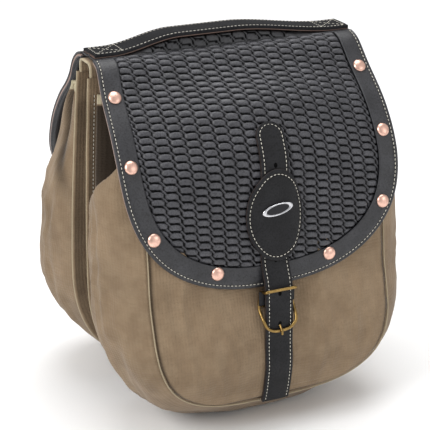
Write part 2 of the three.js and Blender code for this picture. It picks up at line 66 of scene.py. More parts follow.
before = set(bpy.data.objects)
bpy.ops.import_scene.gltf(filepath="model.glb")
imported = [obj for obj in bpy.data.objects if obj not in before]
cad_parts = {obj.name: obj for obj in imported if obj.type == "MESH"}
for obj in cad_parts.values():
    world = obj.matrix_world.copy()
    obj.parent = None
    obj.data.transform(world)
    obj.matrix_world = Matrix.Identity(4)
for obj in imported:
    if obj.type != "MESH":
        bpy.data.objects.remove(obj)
CAD_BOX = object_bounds()
MM = 0.001
SIDES = ("front", "rear")

# ---- the frame's own sizes, in millimetres; heights are below the seat ----
BRIDGE_HALF_LENGTH = 146
BRIDGE_HALF_DEPTH = 13
BRIDGE_CANVAS = 2.2
BRIDGE_LEG = 13.5
BRIDGE_BEND = 6
RIDGE_HALF_LENGTH = 142
RIDGE_HALF_DEPTH = 18
RIDGE_TOP = 6.0
HANDLE_HALF_LENGTH = 141
HANDLE_FOOT = 27
HANDLE_WIDTH = 31
HANDLE_LEATHER = 4
HANDLE_BASE = 6.3
BACK_PANEL = {"top_half": 149, "half": 156, "top": -12.3, "shoulder": -219, "bottom": -369, "power": 2.5}
FACE_PANEL = {"top_half": 126, "half": 130, "top": -29.4, "shoulder": -230, "bottom": -337, "power": 3}
FLAP = {"top_half": 142, "half": 151, "top": 20, "shoulder": -84, "bottom": -213, "power": 2.4}
SEAM_FLANGE = 9
BACK_DEPTH = 13
BACK_CANVAS = 3
GUSSET_BACK = 16.3
SEAM_DEPTH = 2.0
FLAP_STACK = 7.5
FLAP_CURVE = ((18, 6), (31, 0), (50, -23), (80, -55), (104, -94), (121, -144), (128, -194), (131, -222))
BELLY_CURVE = ((131, -244), (137, -268), (139.5, -295), (135.5, -322), (129, -345))
FACE_TOP = -24.6
WEAVE_OUT = -2.4
RIVET_PLACES = ((135, -24), (138, -80), (126, -147), (62, -191))
RIVET_RADIUS = 6.9
RIVET_HEIGHT = 3.4
STRAP_WIDTH = 30
STRAP_LEATHER = 3.4
STRAP_OUT = 0.5
STRAP_TIP = -66
STRAP_FOOT = -334
STRAP_HOLE_PITCH = 32
STRAP_HOLES = 6
PRONG_HOLE = -250.5
PATCH = {"half_width": 31, "half_height": 44, "centre": -143}
PATCH_LEATHER = 3
BADGE = {"half_length": 17, "half_height": 6.2, "height": -136}
WIRE_RADIUS = 1.6
HANDLE_CREST = (-50, 10)
BUCKLE_HALF_WIDTH = 18.5
BUCKLE_TOP_HALF = 16.5
BUCKLE_TOP = -213
BUCKLE_BOTTOM = -257.5
BUCKLE_DEPTH = 144
BUCKLE_DIP = 18
REAR_SLACK = 9  # how far the rear gusset hangs out past its own seams
KEEPER_TABS = ((-21, -13), (13, 18.5))
BAR_RADIUS = 1.5
BAR_HEIGHT = -232
BAR_DEPTH = 133.4
PRONG_RADIUS = 1.2
REAR_SPLAY = math.radians(4)
REAR_SETTLE = 13


def mm(metres):
    """A length in metres as millimetres."""
    return metres * 1000


# ---- sizes and colours that a user may change ----
def length(name, description, millimetres):
    """A length property whose default is given in millimetres."""
    return FloatProperty(name=name, description=description, default=millimetres * MM, min=0, unit="LENGTH")


def colour(name, description, hex_value):
    """A colour property whose default is given as an sRGB hex value."""
    return FloatVectorProperty(
        name=name, description=description, subtype="COLOR", size=3, min=0, max=1,
        default=linear(hex_value)[:3]
    )


def linear(hex_value):
    """An sRGB hex colour as the linear RGBA that shaders take."""
    parts = [int(hex_value[i : i + 2], 16) / 255 for i in (1, 3, 5)]
    return (*[c / 12.92 if c <= 0.04045 else ((c + 0.055) / 1.055) ** 2.4 for c in parts], 1.0)


class BagSizes(bpy.types.PropertyGroup):
    """Sizes of the finishing details."""

    weave_length: length("Weave pitch along", "Distance between columns of the embossed weave", 14.6)
    weave_row: length("Weave pitch down", "Distance between rows of one column", 7.6)
    weave_depth: length("Weave depth", "How deep the embossing is pressed", 2.7)
    flap_dome: length("Flap dome", "How far the flap's middle stands out over the full pouch", 17)
    border_width: length("Border width", "Width of the smooth strip round the flap", 22)
    stitch_pitch: length("Stitch pitch", "Distance from one stitch to the next", 4.1)
    stitch_length: length("Stitch length", "Visible length of a stitch", 3.1)
    thread: length("Thread", "Thickness of the waxed thread", 0.85)
    stitch_inset: length("Stitch inset", "From a piece's edge to its row of stitches", 3.6)
    gusset_bulge: length("Gusset bulge", "How far the pouch's sides stand out", 29)
    gusset_tuck: length("Gusset tuck", "How far the top of the sides folds in", 46)
    fold_depth: length("Fold depth", "Depth of the soft folds in the canvas", 4.6)
    handle_rise: length("Handle rise", "How far the handle arches above its ends", 12)
    weave_steps: IntProperty(
        name="Weave steps", description="Mesh columns across the flap", default=236, min=20
    )


class BagColours(bpy.types.PropertyGroup):
    """Colours of the materials."""

    canvas: colour("Canvas", "Waxed canvas", "#847059")
    canvas_light: colour("Canvas, worn", "Canvas where the wax has rubbed off", "#A8957B")
    canvas_dark: colour("Canvas, dark", "Canvas where the wax has gathered", "#5C4C3A")
    canvas_edge: colour("Canvas edge", "Cut and folded canvas edges", "#C9C0A3")
    leather: colour("Leather", "Dyed leather", "#18181A")
    leather_edge: colour("Leather edge", "Undyed cut edge of the leather", "#7E6660")
    thread: colour("Thread", "Waxed linen thread", "#DAD5C8")
    copper: colour("Copper", "Rivet caps", "#F0C4B2")
    brass: colour("Brass", "Buckle", "#9A7E4C")
    steel: colour("Steel", "Badge", "#D4D4D8")


def sizes():
    """The scene's detail sizes."""
    return bpy.context.scene.saddle_bag_sizes


def colours():
    """The scene's colours."""
    return bpy.context.scene.saddle_bag_colours


# ---- small maths ----
def lerp(a, b, share):
    """The value a share of the way from a to b."""
    return a + (b - a) * share


def smooth(value, start, end):
    """0 before start, 1 after end, and a smooth step between them."""
    share = min(max((value - start) / (end - start), 0.0), 1.0)
    return share * share * (3 - 2 * share)


def ripple(*coordinates):
    """Smooth seeded noise from about -1 to 1."""
    spots = (list(coordinates) + [0.0, 0.0])[:3]
    return noise.noise(Vector(spots))


def catmull(points, share, closed=False):
    """A point of the smooth curve through the points."""
    count = len(points)
    place = share * (count if closed else count - 1)
    i = min(int(place), count - 1 if closed else count - 2)
    w = place - i
    if closed:
        a, b, c, d = (Vector(points[(i + k) % count]) for k in (-1, 0, 1, 2))
    else:
        a, b, c, d = (Vector(points[min(max(i + k, 0), count - 1)]) for k in (-1, 0, 1, 2))
    return (
        b
        + (c - a) * (0.5 * w)
        + (a * 2 - b * 5 + c * 4 - d) * (0.5 * w * w)
        + (b * 3 - a - c * 3 + d) * (0.5 * w**3)
    )


class Drape:
    """A curve of [depth, height] from top to bottom that a sheet follows, read by the distance along it."""

    STEP = 0.5

    def __init__(self, points, samples=1200):
        line = [catmull(points, i / samples) for i in range(samples + 1)]
        runs = [0.0]
        for a, b in zip(line, line[1:]):
            runs.append(runs[-1] + (b - a).length)
        self.length = runs[-1]
        self.spots, k = [], 0
        count = int(self.length / self.STEP) + 1
        for i in range(count + 1):
            target = min(i * self.STEP, self.length)
            while k < samples - 1 and runs[k + 1] < target:
                k += 1
            share = (target - runs[k]) / max(runs[k + 1] - runs[k], 1e-9)
            self.spots.append(line[k].lerp(line[k + 1], share))
        self.outs = []
        for i in range(len(self.spots)):
            along = self.spots[min(i + 2, len(self.spots) - 1)] - self.spots[max(i - 2, 0)]
            along.normalize()
            self.outs.append(Vector((-along.y, along.x)))

    def at(self, run, out=0.0):
        """[depth, height] at a distance along the curve, moved out from it."""
        place = min(max(run / self.STEP, 0.0), len(self.spots) - 1.001)
        i = int(place)
        w = place - i
        spot = self.spots[i].lerp(self.spots[i + 1], w)
        return spot + self.outs[i].lerp(self.outs[i + 1], w) * out + self.beyond(run)

    def beyond(self, run):
        """How far a point past either end runs straight on."""
        if run < 0:
            return (self.spots[0] - self.spots[2]).normalized() * -run
        if run > self.length:
            return (self.spots[-1] - self.spots[-3]).normalized() * (run - self.length)
        return Vector((0, 0))

    def run_at(self, height):
        """The distance along the curve where it passes a height."""
        low, high = 0, len(self.spots) - 1
        while high - low > 1:
            middle = (low + high) // 2
            if self.spots[middle].y > height:
                low = middle
            else:
                high = middle
        a, b = self.spots[low].y, self.spots[high].y
        return (low + (a - height) / max(a - b, 1e-9)) * self.STEP


# ---- outlines ----
def inset(outline, distance):
    """The outline drawn in by a distance."""
    return {
        **outline,
        "top_half": outline["top_half"] - distance,
        "half": outline["half"] - distance,
        "bottom": outline["bottom"] + distance,
    }


def on_outline(outline, u):
    """(x, height) on a rounded D: u is 0 at its top left, 0.5 at its lowest point, 1 at its top right."""
    side = -1 if u < 0.5 else 1
    down = 1 - abs(2 * u - 1)
    if down < 0.5:
        along = down / 0.5
        half = lerp(outline["top_half"], outline["half"], math.sin(along * math.pi / 2))
        return Vector((side * half, lerp(outline["top"], outline["shoulder"], along)))
    angle = (down - 0.5) / 0.5 * math.pi / 2
    power = 2 / outline["power"]
    drop = (outline["shoulder"] - outline["bottom"]) * max(math.sin(angle), 0) ** power
    return Vector((side * outline["half"] * max(math.cos(angle), 0) ** power, outline["shoulder"] - drop))


flap_drape = Drape(FLAP_CURVE)


def face_points():
    """The points that the face panel follows: behind the flap, then the belly below it."""
    top, last = flap_drape.run_at(FACE_TOP + 6), flap_drape.run_at(FLAP["bottom"] + 2)
    hidden = [flap_drape.at(lerp(top, last, i / 6), -FLAP_STACK) for i in range(7)]
    return [tuple(p) for p in hidden] + list(BELLY_CURVE)


face_drape = Drape(face_points())


def flap_dome(x, height):
    """How far the flap's middle stands out from its plain curve."""
    down = smooth(-height, 0, 52) * (1 - smooth(-height, 82, 152))
    return mm(sizes().flap_dome) * down * max(1 - (x / 126) ** 2, 0) ** 1.5


def on_flap(x, run, out=0.0):
    """A point over the flap's outer surface, front side, in millimetres."""
    height = flap_drape.at(run).y
    spot = flap_drape.at(run, out + flap_dome(x, height))
    return Vector((x, -spot.x, spot.y))


def strap_points():
    """The points of the strap's underside: over the flap, over the buckle's bar, down to the seam."""
    high, low = flap_drape.run_at(STRAP_TIP + 3), flap_drape.run_at(BUCKLE_TOP + 24)
    points = []
    for i in range(9):
        spot = on_flap(0, lerp(high, low, i / 8), STRAP_OUT)
        points.append((-spot.y, spot.z))
    over_bar = BAR_DEPTH + BAR_RADIUS + 0.3 + 2 * PRONG_RADIUS + 0.5
    points += [(over_bar - 2, BUCKLE_TOP + 4), (over_bar, BAR_HEIGHT + 3), (over_bar + 0.6, PRONG_HOLE)]
    for height in (-275, -295, -312, -326, STRAP_FOOT - 4):
        points.append((face_drape.at(face_drape.run_at(height)).x + 0.8, height))
    return points


class Straps:
    """Keeps the strap's curve once it is worked out."""

    curve = None

    @classmethod
    def drape(cls):
        """The strap's curve."""
        if cls.curve is None:
            cls.curve = Drape(strap_points())
        return cls.curve


def on_strap(x, run, out=0.0):
    """A point over the strap's underside, front side, in millimetres."""
    spot = Straps.drape().at(run, out)
    return Vector((x + 3.0 * smooth(150 - run, 0, 150), -spot.x, spot.y))


def side_matrix(side):
    """Turns a piece made for the front pouch into its place on either side, in metres."""
    scale = Matrix.Scale(MM, 4)
    if side == "front":
        return scale
    edge = Vector((0, RIDGE_HALF_DEPTH, -RIDGE_TOP))
    splay = Matrix.Translation(-edge) @ Matrix.Rotation(-REAR_SPLAY, 4, "X") @ Matrix.Translation(edge)
    return scale @ Matrix.Rotation(math.pi, 4, "Z") @ splay


# ---- mesh building ----
def settle_rear(bm):
    """Lets the rear pouch, which is less full, hang a little flatter under the top of its flap."""
    for vert in bm.verts:
        depth, below = -vert.co.y, -vert.co.z
        sink = smooth(below, -2, 40) * (1 - smooth(below, 95, 165)) * smooth(depth, 24, 48)
        vert.co.y += REAR_SETTLE * sink


def finish_piece(name, bm, material, side=None, smooth_shading=True, recalc=True):
    """Turns a mesh under work into a finished object at the origin with its place in its mesh."""
    if side == "rear":
        settle_rear(bm)
    matrix = side_matrix(side) if side else Matrix.Scale(MM, 4)
    bmesh.ops.transform(bm, matrix=matrix, verts=bm.verts)
    if recalc:
        bmesh.ops.recalc_face_normals(bm, faces=bm.faces)
    mesh = bpy.data.meshes.new(name)
    bm.to_mesh(mesh)
    bm.free()
    mesh.materials.append(material)
    mesh.polygons.foreach_set("use_smooth", [smooth_shading] * len(mesh.polygons))
    piece = bpy.data.objects.new(name, mesh)
    bpy.context.scene.collection.objects.link(piece)
    return piece


def warped_grid(columns, rows, place, merge=1e-4):
    """A grid whose points go where place(u, v) says: (point, uv in metres, tone). Its seams are merged."""
    bm = bmesh.new()
    uv_layer = bm.loops.layers.uv.new("Cloth")
    tone = bm.verts.layers.float.new("tone")
    bmesh.ops.create_grid(bm, x_segments=columns, y_segments=rows, size=0.5)
    flat = {}
    for vert in bm.verts:
        u, v = vert.co.x + 0.5, vert.co.y + 0.5
        point, cloth, shade = place(u, v)
        vert.co = point
        vert[tone] = shade
        flat[vert] = cloth
    for face in bm.faces:
        for loop in face.loops:
            loop[uv_layer].uv = flat[loop.vert]
    if merge:
        bmesh.ops.remove_doubles(bm, verts=bm.verts, dist=merge)
    return bm


def cap_ends(bm):
    """Closes every open loop of a mesh with a face."""
    edges = [e for e in bm.edges if e.is_boundary]
    if edges:
        bmesh.ops.holes_fill(bm, edges=edges, sides=0)


def thicken(piece, thickness, offset=-1.0):
    """Gives a sheet its real thickness, in millimetres."""
    wall = piece.modifiers.new("Wall", "SOLIDIFY")
    wall.thickness = thickness * MM
    wall.offset = offset
    return piece


def put(piece, body, slot, *nodes):
    """Rides a piece on a body, names its finish and what it stands for."""
    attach(piece, body)
    if nodes:
        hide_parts(*nodes)
    return piece


def spread(points, gap):
    """Points a gap apart along a line of points, with the direction at each."""
    runs = [0.0]
    for a, b in zip(points, points[1:]):
        runs.append(runs[-1] + (b - a).length)
    count = max(int(runs[-1] / gap), 1)
    result, k = [], 0
    for i in range(count):
        target = (i + 0.5) * runs[-1] / count
        while k < len(points) - 2 and runs[k + 1] < target:
            k += 1
        w = (target - runs[k]) / max(runs[k + 1] - runs[k], 1e-9)
        result.append((points[k].lerp(points[k + 1], w), (points[k + 1] - points[k]).normalized()))
    return result


def stitch_row(bm, line, normal_at):
    """Adds a row of stitches along a line of points; normal_at says which way is out."""
    s = sizes()
    half, thick = mm(s.stitch_length) / 2, mm(s.thread) / 2
    for spot, along in spread(line, mm(s.stitch_pitch)):
        up = normal_at(spot)
        across = up.cross(along).normalized()
        up = along.cross(across).normalized()
        turned = Matrix((along, across, up)).transposed().to_4x4()
        shape = Matrix.Diagonal((half, thick, thick * 0.8, 1))
        bmesh.ops.create_uvsphere(
            bm, u_segments=6, v_segments=4, radius=1, matrix=Matrix.Translation(spot) @ turned @ shape
        )


def surface_row(bm, surface, spots, out):
    """A row of stitches on a surface(a, b, out) along (a, b) spots."""
    line = [surface(a, b, out) for a, b in spots]
    ups = [(surface(a, b, out + 1) - surface(a, b, out)) for a, b in spots]

    def normal_at(point):
        nearest = min(range(len(line)), key=lambda i: (line[i] - point).length_squared)
        return ups[nearest]

    stitch_row(bm, line, normal_at)


def surface_frame(surface, a, b, out):
    """A matrix that stands a piece on a surface(a, b, out), its Z along the way out."""
    step = 1.0
    centre = surface(a, b, out)
    across = (surface(a + step, b, out) - surface(a - step, b, out)).normalized()
    down = (surface(a, b + step, out) - surface(a, b - step, out)).normalized()
    up = down.cross(across).normalized()
    if up.dot(surface(a, b, out + 1) - centre) < 0:
        up.negate()
    side = up.cross(across).normalized()
    return Matrix.Translation(centre) @ Matrix((across, side, up)).transposed().to_4x4()


def tube(path, radius, sides=12, closed=False, steps=96):
    """A wire of round section along a smooth path of points, in millimetres."""
    line = [catmull(path, i / steps, closed) for i in range(steps + (0 if closed else 1))]
    count = len(line)
    frames = []
    up = Vector((0, -1, 0.2)).normalized()
    for i in range(count):
        before = line[i - 1] if closed or i else line[0]
        after = line[(i + 1) % count] if closed or i < count - 1 else line[-1]
        along = (after - before).normalized()
        side = up.cross(along)
        side = side.normalized() if side.length > 1e-6 else Vector((1, 0, 0))
        up = along.cross(side).normalized()
        frames.append((side, up))

    def place(u, v):
        i = min(round(u * (steps)), steps)
        k = i % count if closed else min(i, count - 1)
        side, lift = frames[k]
        angle = 2 * math.pi * v
        point = line[k] + (side * math.cos(angle) + lift * math.sin(angle)) * radius
        return point, (u * 0.1, v * 0.01), 0.0

    bm = warped_grid(steps, sides, place)
    if not closed:
        cap_ends(bm)
    return bm


# ---- materials ----
def add_node(tree, kind, inputs=None, **settings):
    """Adds a node with its settings; an input that is a socket is linked, and any other is set."""
    made = tree.nodes.new(kind)
    for key, value in settings.items():
        setattr(made, key, value)
    for key, value in (inputs or {}).items():
        socket = made.inputs[key]
        if isinstance(value, bpy.types.NodeSocket):
            tree.links.new(value, socket)
        else:
            socket.default_value = value
    return made


def start_material(name, **sockets):
    """A material with one Principled shader and its fixed values. Returns it, its tree and the shader."""
    material = bpy.data.materials.get(name) or bpy.data.materials.new(name)
    material.use_nodes = True
    tree = material.node_tree
    tree.nodes.clear()
    shader = add_node(tree, "ShaderNodeBsdfPrincipled")
    for key, value in sockets.items():
        shader.inputs[key.replace("_", " ")].default_value = value
    output = add_node(tree, "ShaderNodeOutputMaterial")
    tree.links.new(shader.outputs["BSDF"], output.inputs["Surface"])
    return material, tree, shader


def rgba(value):
    """A colour property as RGBA."""
    return (*value, 1.0)


def waxed_canvas():
    """Heavy cotton canvas, woven, dyed and waxed: matt, mottled, with visible thread and pale worn edges."""
    c = colours()
    material, tree, shader = start_material("waxed_cotton_canvas_woven", Roughness=0.88, Sheen_Weight=0.12)
    shader.inputs["Specular IOR Level"].default_value = 0.22
    object_spot = add_node(tree, "ShaderNodeTexCoord").outputs["Object"]
    cloth = add_node(tree, "ShaderNodeUVMap", uv_map="Cloth").outputs["UV"]
    # Wax gathers in clouds some 80 mm across, with a finer 17 mm mottle inside them.
    cloud = add_node(
        tree, "ShaderNodeTexNoise", {"Vector": object_spot, "Scale": 13.0, "Detail": 4.0, "Roughness": 0.6}
    )
    mottle = add_node(tree, "ShaderNodeTexNoise", {"Vector": object_spot, "Scale": 60.0, "Detail": 5.0})
    wide = add_node(
        tree, "ShaderNodeMapRange", {"Value": cloud.outputs["Fac"], "From Min": 0.34, "From Max": 0.62}
    )
    fine = add_node(
        tree, "ShaderNodeMapRange", {"Value": mottle.outputs["Fac"], "From Min": 0.4, "From Max": 0.62}
    )
    body = add_node(
        tree,
        "ShaderNodeMix",
        {0: wide.outputs[0], 6: rgba(c.canvas_dark), 7: rgba(c.canvas)},
        data_type="RGBA",
    ).outputs[2]
    body = add_node(tree, "ShaderNodeMix", {0: 0.5, 6: body, 7: rgba(c.canvas)}, data_type="RGBA").outputs[2]
    pale = add_node(tree, "ShaderNodeMath", {0: fine.outputs[0], 1: 0.15}, operation="MULTIPLY")
    body = add_node(
        tree, "ShaderNodeMix", {0: pale.outputs[0], 6: body, 7: rgba(c.canvas_light)}, data_type="RGBA"
    ).outputs[2]
    # Slubs run along both threads: 1.2 mm wide and some 12 mm long, as coarse as they need to be to show.
    for stretch in ((830.0, 80.0, 1.0), (80.0, 830.0, 1.0)):
        spot = add_node(tree, "ShaderNodeMapping", {"Vector": cloth, "Scale": stretch})
        slub = add_node(tree, "ShaderNodeTexNoise", {"Vector": spot.outputs[0], "Scale": 1.0, "Detail": 1.0})
        share = add_node(
            tree, "ShaderNodeMapRange", {
                "Value": slub.outputs["Fac"], "From Min": 0.5, "From Max": 0.8, "To Max": 0.16
            }
        )
        body = add_node(
            tree, "ShaderNodeMix", {0: share.outputs[0], 6: body, 7: rgba(c.canvas_dark)}, data_type="RGBA"
        ).outputs[2]
    edge = add_node(tree, "ShaderNodeAttribute", attribute_name="tone").outputs["Fac"]
    worn = add_node(tree, "ShaderNodeMapRange", {"Value": edge, "From Min": 0.0, "From Max": 1.0})
    body = add_node(
        tree, "ShaderNodeMix", {0: worn.outputs[0], 6: body, 7: rgba(c.canvas_edge)}, data_type="RGBA"
    ).outputs[2]
    # Painted shade: a negative tone darkens the canvas towards near black in the folded-in recesses, the seam
    # crevices and the strip between the pouches.
    deep = add_node(
        tree, "ShaderNodeMapRange", {"Value": edge, "From Min": 0.0, "From Max": -1.0, "To Max": 0.94}
    )
    body = add_node(
        tree, "ShaderNodeMix", {0: deep.outputs[0], 6: body, 7: (0.016, 0.01, 0.006, 1)}, data_type="RGBA"
    ).outputs[2]
    tree.links.new(body, shader.inputs["Base Color"])
    # Threads 3.3 mm apart, coarser than the real 0.8 mm so that they show.
    heights = []
    for direction in ("X", "Y"):
        wave = add_node(
            tree,
            "ShaderNodeTexWave",
            {"Vector": cloth, "Scale": 95.0, "Distortion": 2.5, "Detail": 2.0, "Detail Scale": 3.0},
            bands_direction=direction,
        )
        heights.append(wave.outputs["Fac"])
    threads = add_node(tree, "ShaderNodeMath", {0: heights[0], 1: heights[1]}, operation="ADD")
    grainy = add_node(tree, "ShaderNodeMath", {0: mottle.outputs["Fac"], 1: 1.5}, operation="MULTIPLY")
    relief = add_node(tree, "ShaderNodeMath", {0: threads.outputs[0], 1: grainy.outputs[0]}, operation="ADD")
    bump = add_node(
        tree, "ShaderNodeBump", {"Height": relief.outputs[0], "Strength": 0.35, "Distance": 0.0006}
    )
    tree.links.new(bump.outputs["Normal"], shader.inputs["Normal"])
    return material


def dyed_leather(name, roughness, grain, depth, shine=0.36, lift=1.0, polish=False):
    """Vegetable-tanned leather, dyed and waxed: near black, satin, with fine pebbled grain and raw edges."""
    c = colours()
    material, tree, shader = start_material(name, Roughness=roughness)
    spot = add_node(tree, "ShaderNodeTexCoord").outputs["Object"]
    tone = add_node(tree, "ShaderNodeAttribute", attribute_name="tone").outputs["Fac"]
    cloud = add_node(tree, "ShaderNodeTexNoise", {"Vector": spot, "Scale": 55.0, "Detail": 4.0})
    pebble = add_node(
        tree, "ShaderNodeTexVoronoi", {"Vector": spot, "Scale": 1000 / grain}, feature="SMOOTH_F1"
    )
    crease = add_node(tree, "ShaderNodeTexNoise", {"Vector": spot, "Scale": 900.0, "Detail": 3.0})
    # lift draws lighter or darker copies of the one leather colour: painted light and shade.
    plain = tuple(v * lift for v in c.leather) + (1.0,)
    light = tuple(min(v * lift * 1.7, 1) for v in c.leather) + (1.0,)
    dark = tuple(v * lift * 0.55 for v in c.leather) + (1.0,)
    share = add_node(
        tree, "ShaderNodeMapRange", {"Value": cloud.outputs["Fac"], "From Min": 0.3, "From Max": 0.7}
    )
    body = add_node(
        tree, "ShaderNodeMix", {0: share.outputs[0], 6: plain, 7: light}, data_type="RGBA"
    ).outputs[2]
    pit = add_node(
        tree, "ShaderNodeMapRange", {"Value": pebble.outputs["Distance"], "From Min": 0.35, "From Max": 0.8}
    )
    body = add_node(tree, "ShaderNodeMix", {0: pit.outputs[0], 6: body, 7: dark}, data_type="RGBA").outputs[2]
    # Painted shade: where the tone is negative, in grooves and recesses, the colour goes to near black.
    groove = add_node(
        tree, "ShaderNodeMapRange", {"Value": tone, "From Min": 0.0, "From Max": -1.0, "To Max": 0.97}
    )
    body = add_node(
        tree, "ShaderNodeMix", {0: groove.outputs[0], 6: body, 7: (0.002, 0.002, 0.002, 1)}, data_type="RGBA"
    ).outputs[2]
    # The grooves are shaded from the lights, so they lose their shine too.
    gloss = add_node(
        tree, "ShaderNodeMapRange", {
            "Value": tone, "From Min": -0.9, "From Max": -0.1, "To Min": 0.02, "To Max": shine
        }
    )
    tree.links.new(gloss.outputs[0], shader.inputs["Specular IOR Level"])
    raw = add_node(tree, "ShaderNodeMapRange", {"Value": tone, "From Min": 0.15, "From Max": 0.75})
    fibre = add_node(
        tree,
        "ShaderNodeMix",
        {0: cloud.outputs["Fac"], 6: rgba(c.leather_edge), 7: (0.32, 0.22, 0.17, 1)},
        data_type="RGBA",
    ).outputs[2]
    body = add_node(
        tree, "ShaderNodeMix", {0: raw.outputs[0], 6: body, 7: fibre}, data_type="RGBA"
    ).outputs[2]
    tree.links.new(body, shader.inputs["Base Color"])
    rough = add_node(
        tree,
        "ShaderNodeMapRange",
        {
            "Value": crease.outputs["Fac"],
            "From Min": 0.3,
            "From Max": 0.7,
            "To Min": roughness - 0.07,
            "To Max": roughness + 0.1,
        },
    )
    tree.links.new(rough.outputs[0], shader.inputs["Roughness"])
    relief = add_node(tree, "ShaderNodeMath", {0: pebble.outputs["Distance"], 1: -1.0}, operation="MULTIPLY")
    total = add_node(
        tree, "ShaderNodeMath", {0: relief.outputs[0], 1: crease.outputs["Fac"]}, operation="ADD"
    )
    bump = add_node(
        tree, "ShaderNodeBump", {"Height": total.outputs[0], "Strength": depth, "Distance": 0.0007}
    )
    tree.links.new(bump.outputs["Normal"], shader.inputs["Normal"])
    if polish:
        shader.inputs["Coat Weight"].default_value = 0.12
        shader.inputs["Coat Roughness"].default_value = 0.3
    return material


def metal(name, value, roughness, scratch):
    """Worked metal: polished on the high places and dulled by fine scratches and handling."""
    material, tree, shader = start_material(name, Metallic=1.0, Roughness=roughness)
    spot = add_node(tree, "ShaderNodeTexCoord").outputs["Object"]
    cloud = add_node(tree, "ShaderNodeTexNoise", {"Vector": spot, "Scale": 260.0, "Detail": 4.0})
    dull = tuple(v * 0.72 for v in value) + (1.0,)
    share = add_node(
        tree, "ShaderNodeMapRange", {"Value": cloud.outputs["Fac"], "From Min": 0.35, "From Max": 0.7}
    )
    tone = add_node(tree, "ShaderNodeAttribute", attribute_name="tone").outputs["Fac"]
    # A negative tone darkens the metal to near black; only the badge's middle gets it.
    darkened = add_node(tree, "ShaderNodeMapRange", {"Value": tone, "From Min": -0.1, "From Max": -0.9})
    body = add_node(
        tree, "ShaderNodeMix", {0: share.outputs[0], 6: rgba(value), 7: dull}, data_type="RGBA"
    ).outputs[2]
    body = add_node(
        tree, "ShaderNodeMix", {0: darkened.outputs[0], 6: body, 7: (0.03, 0.03, 0.032, 1)}, data_type="RGBA"
    ).outputs[2]
    tree.links.new(body, shader.inputs["Base Color"])
    rough = add_node(
        tree,
        "ShaderNodeMapRange",
        {"Value": cloud.outputs["Fac"], "To Min": max(roughness - 0.06, 0.04), "To Max": roughness + 0.12},
    )
    tree.links.new(rough.outputs[0], shader.inputs["Roughness"])
    marks = add_node(tree, "ShaderNodeTexNoise", {"Vector": spot, "Scale": 900.0, "Detail": 2.0})
    bump = add_node(
        tree, "ShaderNodeBump", {"Height": marks.outputs["Fac"], "Strength": scratch, "Distance": 0.0003}
    )
    tree.links.new(bump.outputs["Normal"], shader.inputs["Normal"])
    return material


def waxed_thread():
    """Linen thread, twisted and waxed: pale, slightly shiny, with its twist showing as fine shade."""
    material, tree, shader = start_material("linen_thread_waxed", Roughness=0.6)
    spot = add_node(tree, "ShaderNodeTexCoord").outputs["Object"]
    twist = add_node(tree, "ShaderNodeTexNoise", {"Vector": spot, "Scale": 1400.0, "Detail": 2.0})
    value = colours().thread
    shade = tuple(v * 0.6 for v in value) + (1.0,)
    share = add_node(
        tree, "ShaderNodeMapRange", {"Value": twist.outputs["Fac"], "From Min": 0.35, "From Max": 0.65}
    )
    tree.links.new(
        add_node(
            tree, "ShaderNodeMix", {0: share.outputs[0], 6: shade, 7: rgba(value)}, data_type="RGBA"
        ).outputs[2],
        shader.inputs["Base Color"],
    )
    return material


def fibre_board():
    """Pressed fibre board: brown, matt and speckled."""
    material, tree, shader = start_material("fibre_board_pressed", Roughness=0.85)
    spot = add_node(tree, "ShaderNodeTexCoord").outputs["Object"]
    speck = add_node(tree, "ShaderNodeTexNoise", {"Vector": spot, "Scale": 500.0, "Detail": 5.0})
    tree.links.new(
        add_node(
            tree,
            "ShaderNodeMix",
            {0: speck.outputs["Fac"], 6: linear("#3B332B"), 7: linear("#5C5145")},
            data_type="RGBA",
        ).outputs[2], shader.inputs["Base Color"]
    )
    bump = add_node(
        tree, "ShaderNodeBump", {"Height": speck.outputs["Fac"], "Strength": 0.3, "Distance": 0.0004}
    )
    tree.links.new(bump.outputs["Normal"], shader.inputs["Normal"])
    return material


class Finish:
    """The bag's materials, made once."""

    made = {}

    @classmethod
    def get(cls, name):
        """A material by its plain name."""
        if not cls.made:
            c = colours()
            cls.made = {
                "canvas": waxed_canvas(),
                # The same dyed leather is drawn at several lifts, lighter or darker by part: painted light
                # and shade. The embossed copy is lifted most, so its lozenge tops read as lit against its
                # painted black grooves.
                "smooth": dyed_leather("bridle_leather_dyed_waxed", 0.42, 1.5, 0.22, shine=0.42, lift=2.2),
                "strap": dyed_leather("strap_leather_dyed_waxed", 0.5, 1.5, 0.24, shine=0.2, lift=0.9),
                "matt": dyed_leather("bridle_leather_unpolished", 0.75, 1.5, 0.22, shine=0.13, lift=0.9),
                "embossed": dyed_leather(
                    "saddle_leather_embossed_dyed", 0.4, 1.3, 0.25, lift=4.6, polish=True
                ),
                "thread": waxed_thread(),
                # Spun copper caps, polished: a bright pink metal with a soft broad highlight.
                "copper": metal("copper_spun_polished", c.copper, 0.32, 0.05),
                # Drawn brass wire, brushed and aged: warm yellow, dull in places.
                "brass": metal("brass_wire_brushed", c.brass, 0.3, 0.15),
                # Nickel-plated steel, pressed: cool and almost mirror bright.
                "steel": metal("steel_nickel_plated", c.steel, 0.16, 0.05),
                "board": fibre_board(),
            }
        return cls.made[name]


# ---- canvas pieces ----
def soft_fold(u, v, seed):
    """Long soft folds that run down the cloth, in shares of the fold depth."""
    long_fold = ripple(v * 3.4 + seed, u * 1.5, seed * 0.7)
    ridge = 1 - abs(ripple(v * 6.1 + u * 1.3, u * 2.2, seed + 3.1)) * 2
    small = ripple(u * 9.0, v * 7.0, seed + 8.0)
    return 1.1 * long_fold + 0.8 * (ridge - 0.5) + 0.2 * small


